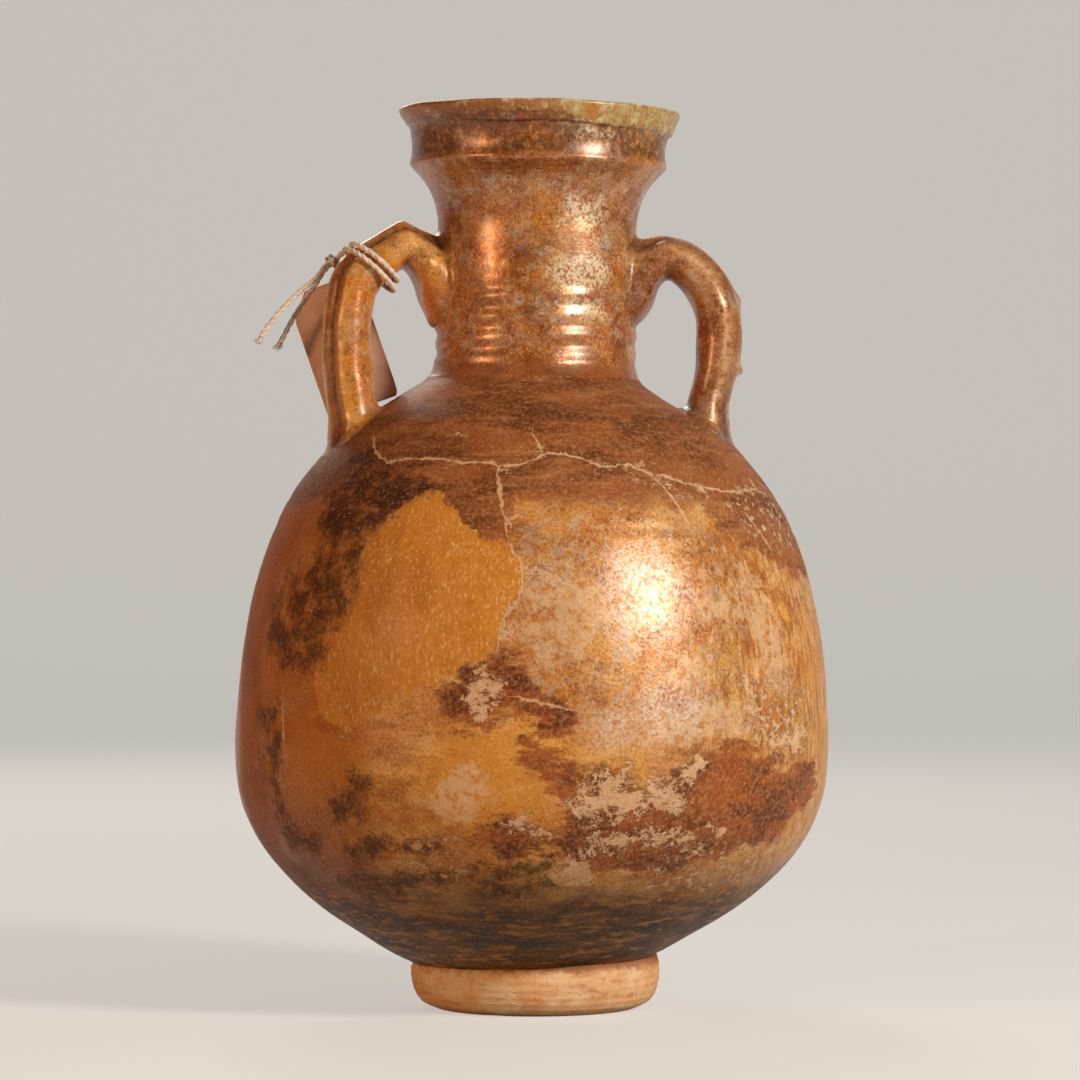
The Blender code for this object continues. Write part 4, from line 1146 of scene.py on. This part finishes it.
def skirt(path, angles, from_middle, to_end, smear):
    """Where each line of the strap leaves it, and the fillet that carries it on to the pot.

    Smear is how much farther the fillet reaches at the front, where a thumb wiped it out.
    """
    samples = np.linspace(from_middle, to_end, SKIRT_SAMPLES)
    leaves, hits = [], []
    for angle in angles:
        away, _ = off_pot(path.skin(samples, np.full(len(samples), angle)))
        leaves.append(samples[int(np.argmax(away < FILLET_HEIGHT))])
        hits.append(samples[int(np.argmax(away < 0))])
    leaves, hits = np.array(leaves), np.array(hits)
    start = path.skin(leaves, angles)
    corner = path.skin(hits, angles)
    away, outward = off_pot(corner)
    corner = corner - outward * away[:, None]
    spread = corner - corner.mean(axis=0)
    spread = unit(spread - outward * np.sum(spread * outward, axis=1)[:, None])
    uneven = 1 + 0.25 * np.sin(5 * angles[:, None])
    reach = FILLET_REACH + smear * np.clip(-spread[:, 1:2], 0, 1) ** 2 * uneven
    end = corner + spread * reach
    away, outward = off_pot(end)
    end = end - outward * away[:, None]
    rings = []
    for step in range(1, SKIRT_STEPS + 1):
        share = step / SKIRT_STEPS
        ring = start * (1 - share) ** 2 + corner * 2 * share * (1 - share) + end * share ** 2
        _, outward = off_pot(ring)
        azimuth = np.arctan2(ring[:, 0], -ring[:, 1])
        stand = relief(azimuth, ring[:, 2]) * share - FILLET_EASE * share ** 2
        rings.append(ring + outward * stand[:, None])
    sunk = rings[-1] - outward * ROOT_SUNK
    return leaves, rings + [sunk, between(sunk, sunk.mean(axis=0), 0.98)]


def lumps_on(points, lumps):
    """Small lumps of clay left on a handle, each pushed out of its surface."""
    way = unit(points - points.mean(axis=1, keepdims=True))
    for place, size, stand in lumps:
        near = np.exp(-np.sum((points - np.array(place)) ** 2, axis=2) / size ** 2)
        points = points + way * (near * stand)[..., None]
    return points


def tube_faces(rings, segments, start=0):
    """Quads between neighbouring rings of points, and one face over each end."""
    last = start + (rings - 1) * segments
    ends = [tuple(range(start, start + segments))[::-1], tuple(range(last, last + segments))]
    return ring_faces(rings, segments, start) + ends


def averaged(values, width):
    return np.convolve(values, np.ones(width) / width, mode="same")


def strap_handle(name, node_name, path, lumps, smears):
    """The whole strap, with a fillet at both roots and its ends inside the pot's wall."""
    angles = np.linspace(0, 2 * np.pi, HANDLE_SIDES, endpoint=False)
    half = path.curve.length / 2
    top_leaves, top_rings = skirt(path, angles, half, 0.0, smears[0])
    low_leaves, low_rings = skirt(path, angles, half, path.curve.length, smears[1])
    strap = []
    for step in range(HANDLE_STEPS + 1):
        share = step / HANDLE_STEPS
        strap.append(path.skin(between(top_leaves, low_leaves, share), angles))
    rings = np.array(top_rings[::-1] + strap + low_rings)
    waves = STRAP_WAVE * (
        np.sin(rings[..., 2] / 0.0031 + 2 * rings[..., 1] / 0.004)
        + np.sin(rings[..., 0] / 0.0024 + rings[..., 1] / 0.0035)
    )
    count = len(rings)
    on_strap = np.pad(np.ones(count - 2 * (SKIRT_STEPS + 2)), SKIRT_STEPS + 2)
    fade = averaged(on_strap, 9) * on_strap
    way = unit(rings - rings.mean(axis=1, keepdims=True))
    rings = lumps_on(settled(rings + way * (waves * fade[:, None])[..., None]), lumps)
    faces = tube_faces(count, HANDLE_SIDES)
    piece = made_piece(name, rings.reshape(-1, 3), faces, "vase", [node_name])
    turn = wrapped(angles)
    in_groove = np.exp(-((np.abs(turn) - GROOVE_ANGLE) / (GROOVE_SPREAD * 1.3)) ** 2)
    on_ridge = np.exp(-(turn / 0.25) ** 2) + np.exp(-((np.abs(turn) - 1.15) / 0.28) ** 2)
    run = np.pad(np.linspace(0, path.curve.length, HANDLE_STEPS + 1), SKIRT_STEPS + 2, "edge")
    set_shares(
        piece, groove=np.outer(path.groove_share(run), in_groove), ridge=np.tile(on_ridge, (count, 1)),
        root=np.tile((1 - averaged(fade, 25))[:, None], (1, HANDLE_SIDES)),
    )
    return piece


def seen_spot(across_px, down_px, y):
    """The point of the model that the photograph shows at a pixel, at a given depth."""
    depth = y - CAMERA_PLACE.y
    return (
        CAMERA_PLACE.x + (across_px - PHOTO_PX / 2) * depth / FOCAL_PX,
        y,
        CAMERA_PLACE.z - (down_px - PHOTO_PX / 2) * depth / FOCAL_PX,
    )


left_path = HandlePath(LEFT_AZIMUTH, LEFT_REACH, LEFT_RISE, LEFT_HANDLE_SHARES, LEFT_WORN)
right_path = HandlePath(RIGHT_AZIMUTH, RIGHT_REACH, RIGHT_RISE, RIGHT_HANDLE_SHARES, RIGHT_WORN)
LEFT_LUMPS = (
    (seen_spot(402, 226, -0.010), 0.0035, 0.0010),
    (seen_spot(429, 322, -0.008), 0.0020, 0.0012),
    (seen_spot(424, 262, -0.020), 0.0030, 0.0008),
)
RIGHT_LUMPS = (
    (seen_spot(738, 300, -0.002), 0.0022, 0.0008),
    (seen_spot(742, 370, -0.002), 0.0015, 0.0026),
)
left_handle = strap_handle("left_strap_handle", "handle_left", left_path, LEFT_LUMPS, LEFT_SMEARS)
right_handle = strap_handle("right_strap_handle", "handle_right", right_path, RIGHT_LUMPS, RIGHT_SMEARS)

# Colours of a handle's glaze: its ground, where it is rich, and the pale crests of its ridges, partly
# painted highlight
LEFT_GLAZE = ("#C06C10", "#D28C20", "#F0BC60")
RIGHT_GLAZE = ("#7A3C12", "#94541E", "#DDB078")
GROOVE_SHADE = "#5A2A0E"
HANDLE_GRAIN = 0.5
HANDLE_LUSTRE = 0.6
HANDLE_GILDING = 0.45
HANDLE_COAT = 0.4


def handle_glaze(name, ground, rich, crest):
    """Glaze on a handle: pale ridge crests, thin glaze partly painted as highlight; painted shade in its
    grooves, over pooled glaze, and at its roots.
    """
    glaze = lead_glaze(
        name, ground, rich, HANDLE_GRAIN,
        lambda made: made.times(made.patchy(9, 0.42, 0.64, 3), HANDLE_LUSTRE),
        HANDLE_GILDING, HANDLE_COAT,
    )
    groove = glaze.attribute("groove")
    broken = glaze.patchy(2.6, 0.36, 0.62)
    glaze.lay(
        # Painted shade at the roots, where the strap meets the pot, and in the grooves over the pooled
        # glaze
        (glaze.attribute("root"), GROOVE_SHADE, 0.6, (3, 0.36, 0.58)),
        (glaze.times(groove, glaze.math("MULTIPLY_ADD", broken, 0.5, 0.4)), GROOVE_SHADE),
        # Pale crests on the ridges: glaze run thin there, partly painted highlight
        (glaze.math("MULTIPLY", glaze.attribute("ridge"), broken, clamp=True), crest, 0.5),
    )
    glaze.scuff(glaze.times(groove, 0.6), 0.5)
    glaze.raise_by(glaze.grain(5, 3), 0.25)
    return glaze.done()


left_handle.data.materials.append(handle_glaze("amber_lead_glaze_left", *LEFT_GLAZE))
right_handle.data.materials.append(handle_glaze("amber_lead_glaze_right", *RIGHT_GLAZE))


# String. One length of two-ply cotton kitchen string, tied by hand: a tail, the knot, through the
# tag's hole, twice round the handle, back into the knot and a second tail. Its ends have frayed.
STRING_RADIUS = 0.00085
STRING_GAP = 0.0003
STRING_SLACK = 0.0002
STRING_DROOP = 0.0020
STRING_PITCH = 0.0027
STRING_SKEW = 0.0012
STRING_SEAT_SHARE = 0.312
STRING_FIRST_ANGLE = np.radians(232)
STRING_LAST_ANGLE = np.radians(-372)
STRING_STEP = np.radians(15)
PLY_RADIUS_SHARE = 0.74
PLY_LAY = 0.0050
PLY_SIDES = 10
PLY_STEP = 0.00022
FRAY_FIBRES = 22
FRAY_STEPS = 8
FRAY_RADIUS = 0.00018
FRAY_ROOT = 0.0007
FRAY_LENGTH = 0.0036
FRAY_SPREAD = 0.0010
KNOT_PLACE = (-0.0008, -0.0086, 0.0119)
HOLE_OUT = 0.0626
HOLE_DROP = 0.0235
HOLE_BEHIND = 0.0016
CREST_STEPS = 30
RISING_ROUTE = (
    (0.0005, -0.0076, 0.0096), (0.0007, -0.0061, 0.0078), (0.0006, -0.0047, 0.0057),
    (0.0004, -0.0035, 0.0037), (0.0001, -0.0028, 0.0019), (0.0000, -0.0015, 0.0003),
    (0.0000, 0.0000, -0.0002), (0.0001, 0.0016, 0.0003), (0.0006, 0.0029, 0.0018),
    (0.0022, 0.0034, 0.0042), (0.0050, 0.0034, 0.0064), (0.0082, 0.0024, 0.0079),
    (0.0113, 0.0009, 0.0089),
)
HOME_ROUTE = ((0.0034, -0.0122, 0.0149), (0.0019, -0.0092, 0.0138))
LONG_TAIL_ROUTE = (
    (-0.0029, -0.0099, 0.0101), (-0.0052, -0.0103, 0.0069), (-0.0105, -0.0104, 0.0024),
    (-0.0158, -0.0105, -0.0028), (-0.0192, -0.0104, -0.0067), (-0.0228, -0.0102, -0.0117),
)
SHORT_TAIL_ROUTE = (
    (-0.0027, -0.0073, 0.0096), (-0.0061, -0.0069, 0.0046), (-0.0092, -0.0065, 0.0001),
    (-0.0131, -0.0063, -0.0060), (-0.0170, -0.0063, -0.0134),
)

crest = max(left_path.curve.at(left_path.curve.length * np.arange(CREST_STEPS) / CREST_STEPS)[:, 1])
hole_place = settled(np.array((-HOLE_OUT, 0, crest - HOLE_DROP)))
hole_place[1] = HOLE_BEHIND


def string_turns():
    """The string's turns round the handle's bend, each a pitch further down the handle."""
    seat = left_path.curve.length * STRING_SEAT_SHARE
    middle, along, outward, thick, wide = (value[0] for value in left_path.frame(seat))
    standoff = STRING_RADIUS + STRING_GAP + STRING_SLACK
    points = []
    for step in range(int(np.ceil((STRING_FIRST_ANGLE - STRING_LAST_ANGLE) / STRING_STEP))):
        angle = STRING_FIRST_ANGLE - STRING_STEP * step
        turns = (STRING_FIRST_ANGLE - angle) / (2 * np.pi)
        hang = STRING_DROOP * max(-np.cos(angle), 0) * min(turns, 1)
        points.append(settled(
            middle
            + outward * (np.cos(angle) * (thick + standoff) - hang)
            + left_path.across * (np.sin(angle) * (wide + standoff))
            + along * (STRING_SKEW * np.cos(angle) + STRING_PITCH * (turns - 1))
        ))
    return points


def placed_route(route):
    return [hole_place + np.array(step) for step in route]


knot_middle = hole_place + np.array(KNOT_PLACE)
string_route = placed_route(LONG_TAIL_ROUTE)[::-1] + [knot_middle]
string_route += placed_route(RISING_ROUTE) + string_turns() + placed_route(HOME_ROUTE)
string_route += [knot_middle + np.array((0.0004, 0.0002, -0.0004))] + placed_route(SHORT_TAIL_ROUTE)
string_line = Curve(string_route)
string_points = string_line.spread(int(string_line.length / PLY_STEP))


def carried_frames(points):
    """Two ways square to the line at each point, carried along without twisting."""
    along = unit(np.gradient(points, axis=0))
    side = np.cross(along[0], (0.0, 0.0, 1.0))
    sides = []
    for way in along:
        side = unit(side - way * np.dot(side, way))
        sides.append(side)
    sides = np.array(sides)
    return sides, np.cross(along, sides)


def twisted_plies(points, radius, plies=2):
    """Round plies twisted about a line, as points and faces, each closed at its ends."""
    side, up = carried_frames(points)
    reach = np.concatenate(([0], np.cumsum(np.linalg.norm(np.diff(points, axis=0), axis=1))))
    ply_radius = radius * PLY_RADIUS_SHARE
    swing = radius - ply_radius
    verts, faces = [], []
    for ply in range(plies):
        turn = 2 * np.pi * (reach / PLY_LAY + ply / plies)
        centre = points + swing * (side * np.cos(turn)[:, None] + up * np.sin(turn)[:, None])
        start = len(verts)
        for spot, side_way, up_way in zip(centre, side, up):
            for corner in range(PLY_SIDES):
                angle = 2 * np.pi * corner / PLY_SIDES
                verts.append(spot + ply_radius * (side_way * np.cos(angle) + up_way * np.sin(angle)))
        faces += tube_faces(len(points), PLY_SIDES, start)
    return verts, faces


def joined(parts):
    """Several sets of points and faces as one."""
    verts, faces = [], []
    for part_verts, part_faces in parts:
        faces += [tuple(corner + len(verts) for corner in face) for face in part_faces]
        verts += part_verts
    return verts, faces


def frayed(end, way, seed):
    """Fine fibres that have come loose at a cut end of the string."""
    chance = np.random.default_rng(seed)
    side = unit(np.cross(way, (0.0, 1.0, 0.3)))
    up = np.cross(way, side)
    fibres = []
    share = np.linspace(0, 1, FRAY_STEPS)[:, None]
    for _ in range(FRAY_FIBRES):
        angle, stand, length, bend = chance.uniform((0, 0.1, 0.5, -1), (2 * np.pi, 0.8, 1, 1))
        out = side * np.cos(angle) + up * np.sin(angle)
        across = side * -np.sin(angle) + up * np.cos(angle)
        line = end - way * FRAY_ROOT + out * stand * STRING_RADIUS
        line = line + way * share * length * FRAY_LENGTH
        line = line + (out * stand + across * bend * 0.6) * share ** 2 * FRAY_SPREAD
        fibres.append(twisted_plies(line, FRAY_RADIUS, 1))
    return fibres


fray_verts, fray_faces = joined(
    frayed(string_points[0], unit(string_points[0] - string_points[1]), 3)
    + frayed(string_points[-1], unit(string_points[-1] - string_points[-2]), 4)
)
frays = made_piece(
    "string_frayed_ends", fray_verts, fray_faces, "vase",
    ["string_tail_long", "string_tail_short"],
)
string_verts, string_faces = twisted_plies(string_points, STRING_RADIUS)
string = made_piece(
    "cotton_string", string_verts, string_faces, "vase",
    ["tag_string", "string_tail_long", "string_tail_short"],
)

# Knot. The two ends pass through one round turn of the same string, drawn down tight. It leans as
# the ends run, up to the right.
KNOT_LEAN = np.radians(35)
KNOT_TURN_RADIUS = 0.00135
KNOT_TURNS = 1.6
KNOT_ADVANCE = 0.0019
KNOT_STEPS = 60
KNOT_TIGHTNESS = 0.95

knot_angle = np.linspace(0, 2 * np.pi * KNOT_TURNS, KNOT_STEPS)
knot_along = np.array((np.cos(KNOT_LEAN), 0, np.sin(KNOT_LEAN)))
knot_up = np.array((-np.sin(KNOT_LEAN), 0, np.cos(KNOT_LEAN)))
knot_points = (
    knot_middle
    + np.outer(KNOT_ADVANCE * (knot_angle / knot_angle[-1] - 0.5), knot_along)
    + np.outer(KNOT_TURN_RADIUS * np.cos(knot_angle), knot_up)
    + np.outer(KNOT_TURN_RADIUS * np.sin(knot_angle), np.array((0, 1, 0)))
)
knot_verts, knot_faces = twisted_plies(knot_points, STRING_RADIUS * KNOT_TIGHTNESS)
knot = made_piece("string_knot_turns", knot_verts, knot_faces, "vase", ["string_knot"])

COTTON = "#EEDFD0"
COTTON_SOILED = "#DCC8B4"
COTTON_FIBRE = "#F2E9DC"
COTTON_ROUGHNESS = 0.92
COTTON_SHEEN = 0.3

cotton = Finish("two_ply_cotton", COTTON, COTTON_ROUGHNESS)
cotton.lay(
    (cotton.ramp(cotton.grain(3, 3), 0.45, 0.65), COTTON_SOILED),
    (None, COTTON_FIBRE, 0.5, (0.25, 0.5, 0.65, 3, None, 0.7)),
)
cotton.raise_by(cotton.grain(0.22, 3, roughness=0.7), 0.12)
cotton.shader.inputs["Sheen Weight"].default_value = COTTON_SHEEN
cotton_finish = cotton.done()
for piece in (string, knot, frays):
    piece.data.materials.append(cotton_finish)

# Tag. A die-cut manila card with two clipped corners and a punched hole, soft at its edges, a
# little bowed, hanging by its hole from the string behind the handle.
TAG_WIDTH = 0.0232
TAG_LENGTH = 0.0403
TAG_THICKNESS = 0.0004
TAG_CORNER_WIDTH = 0.0058
TAG_CORNER_LENGTH = 0.0080
TAG_HOLE_RADIUS = 0.0016
TAG_HOLE_INSET = 0.00595
TAG_HOLE_OFFSET = 0.0026
TAG_LEAN = np.radians(19.1)
TAG_SPOKES = 240
TAG_RINGS = 26
TAG_BOW = 0.0005

right = TAG_WIDTH / 2 - TAG_HOLE_OFFSET
left = right - TAG_WIDTH
top = TAG_HOLE_INSET
bottom = top - TAG_LENGTH
shoulder = top - TAG_CORNER_LENGTH
tag_corners = np.array((
    (left, bottom), (right, bottom), (right, shoulder), (right - TAG_CORNER_WIDTH, top),
    (left + TAG_CORNER_WIDTH, top), (left, shoulder),
))
tag_spokes = np.linspace(0, 2 * np.pi, TAG_SPOKES, endpoint=False)
tag_edge = []
for angle in tag_spokes:
    way = np.array((np.cos(angle), np.sin(angle)))
    reaches = []
    for start, end in zip(tag_corners, np.roll(tag_corners, -1, axis=0)):
        side = end - start
        cross = way[0] * side[1] - way[1] * side[0]
        if abs(cross) < 1e-9:
            continue
        reach = (start[0] * side[1] - start[1] * side[0]) / cross
        share = (start[0] * way[1] - start[1] * way[0]) / cross
        if reach > 0 and -1e-6 <= share <= 1 + 1e-6:
            reaches.append(reach)
    tag_edge.append(way * min(reaches))
tag_edge = np.array(tag_edge)
tag_edge = 0.5 * tag_edge + 0.25 * (np.roll(tag_edge, 1, axis=0) + np.roll(tag_edge, -1, axis=0))
tag_rim = TAG_HOLE_RADIUS * np.column_stack((np.cos(tag_spokes), np.sin(tag_spokes)))
tag_rings = [between(tag_rim, tag_edge, (ring / TAG_RINGS) ** 0.8) for ring in range(TAG_RINGS + 1)]


def tag_face(side):
    """One face of the card, bowed, with its edge rounded over."""
    rings = []
    for number, ring in enumerate(tag_rings):
        bow = TAG_BOW * (ring[:, 0] / TAG_WIDTH * 2) ** 2 + 0.0003 * np.sin(ring[:, 1] / 0.012)
        thin = 0.62 if number in (0, TAG_RINGS) else 1.0
        rings.append(np.column_stack((ring[:, 0], bow + side * thin * TAG_THICKNESS / 2, ring[:, 1])))
    return rings


tag_stack = np.array(tag_face(-1) + tag_face(1)[::-1])
tag_points = tag_stack.reshape(-1, 3)
tag_faces = ring_faces(len(tag_stack), TAG_SPOKES, looped=True)
tag_place = Matrix.Translation(Vector(hole_place)) @ Matrix.Rotation(-TAG_LEAN, 4, "Y")
tag_points = [tag_place @ Vector(point) for point in tag_points]
tag = made_piece("card_tag", tag_points, tag_faces, "tag", ["tag_card"])
edge_share = np.concatenate([np.linspace(0, 1, TAG_RINGS + 1), np.linspace(1, 0, TAG_RINGS + 1)]) ** 6
set_shares(tag, rim=np.tile(edge_share[:, None], (1, TAG_SPOKES)))

CARD = "#EFC6AA"
CARD_STAIN = "#E6B89A"
CARD_FIBRE = "#F6DAC6"
CARD_RIM = "#B98562"
CARD_ROUGHNESS = 0.82

card = Finish("manila_card_stock", CARD, CARD_ROUGHNESS)
card.lay(
    (card.ramp(card.grain(6, 4), 0.42, 0.68), CARD_STAIN),
    (card.ramp(card.grain(0.5, 3, (1, 1, 0.35)), 0.52, 0.66), CARD_FIBRE, 0.35),
    (card.attribute("rim"), CARD_RIM, 0.5),
)
card.raise_by(card.grain(0.4, 3), 0.02)
tag.data.materials.append(card.done())

# Studio. A pale paper sweep, a soft key lamp high on the right, a small warm one on the left and a
# dim even room, which leave the same two rows of highlights on the pot as in the photograph. A wide
# lamp behind shows the back, which the photograph doesn't.
SWEEP_FRONT = -2.2
SWEEP_BACK = 2.2
SWEEP_HALF_WIDTH = 2.6
SWEEP_BEND = 0.35
SWEEP_TOP = 1.9
SWEEP_STEPS = 24
PAPER = "#A5A29D"
PAPER_LIT = "#E2DFDA"
PAPER_ROUGHNESS = 0.9
PAPER_GLOW = 0.62
ROOM = "#E6E2DC"
ROOM_GLOW = 0.09
LAMPS_AIM = (0, 0, 0.13)

sweep_line = [(SWEEP_FRONT, 0.0)]
for step in range(SWEEP_STEPS + 1):
    angle = np.pi / 2 * step / SWEEP_STEPS
    sweep_line.append((SWEEP_BACK + SWEEP_BEND * np.sin(angle), SWEEP_BEND * (1 - np.cos(angle))))
sweep_line.append((SWEEP_BACK + SWEEP_BEND, SWEEP_TOP))
sweep_points = [(x, y, z) for y, z in sweep_line for x in (-SWEEP_HALF_WIDTH, SWEEP_HALF_WIDTH)]
sweep_faces = [(2 * i, 2 * i + 1, 2 * i + 3, 2 * i + 2) for i in range(len(sweep_line) - 1)]
sweep_mesh = bpy.data.meshes.new("paper_sweep")
sweep_mesh.from_pydata(sweep_points, [], sweep_faces)
sweep_mesh.shade_smooth()
sweep = bpy.data.objects.new("paper_sweep", sweep_mesh)
bpy.context.scene.collection.objects.link(sweep)
paper = Finish("pale_background_paper", PAPER, PAPER_ROUGHNESS)
rays = node(paper.tree, "LightPath").outputs
seen = paper.math("MAXIMUM", rays["Is Camera Ray"], rays["Is Glossy Ray"])
seen = paper.math("MAXIMUM", seen, rays["Is Transmission Ray"])
paper.shader.inputs["Emission Color"].default_value = linear(PAPER_LIT)
paper.tree.links.new(paper.times(seen, PAPER_GLOW), paper.shader.inputs["Emission Strength"])
sweep_mesh.materials.append(paper.done())


def soft_lamp(name, azimuth_degrees, elevation_degrees, distance, size, power, colour):
    """A square soft lamp aimed at the pot's middle."""
    azimuth, elevation = np.radians(azimuth_degrees), np.radians(elevation_degrees)
    away = Vector((
        np.sin(azimuth) * np.cos(elevation), -np.cos(azimuth) * np.cos(elevation), np.sin(elevation),
    ))
    data = bpy.data.lights.new(name, "AREA")
    data.size = size
    data.energy = power
    data.color = linear(colour)[:3]
    lamp = bpy.data.objects.new(name, data)
    lamp.location = Vector(LAMPS_AIM) + away * distance
    lamp.rotation_mode = "QUATERNION"
    lamp.rotation_quaternion = away.to_track_quat("Z", "Y")
    bpy.context.scene.collection.objects.link(lamp)


soft_lamp("key", 49, 22, 1.3, 0.25, 15.5, "#FFF4E6")
soft_lamp("warm_fill", -55, 12, 1.3, 0.17, 5.6, "#FFC48C")
soft_lamp("back_fill", 195, 30, 1.6, 0.6, 5.5, "#FFF4E6")
world = bpy.data.worlds.new("room")
world.use_nodes = True
world.node_tree.nodes["Background"].inputs["Color"].default_value = linear(ROOM)
world.node_tree.nodes["Background"].inputs["Strength"].default_value = ROOM_GLOW
bpy.context.scene.world = world
bpy.context.scene.view_settings.view_transform = "Standard"
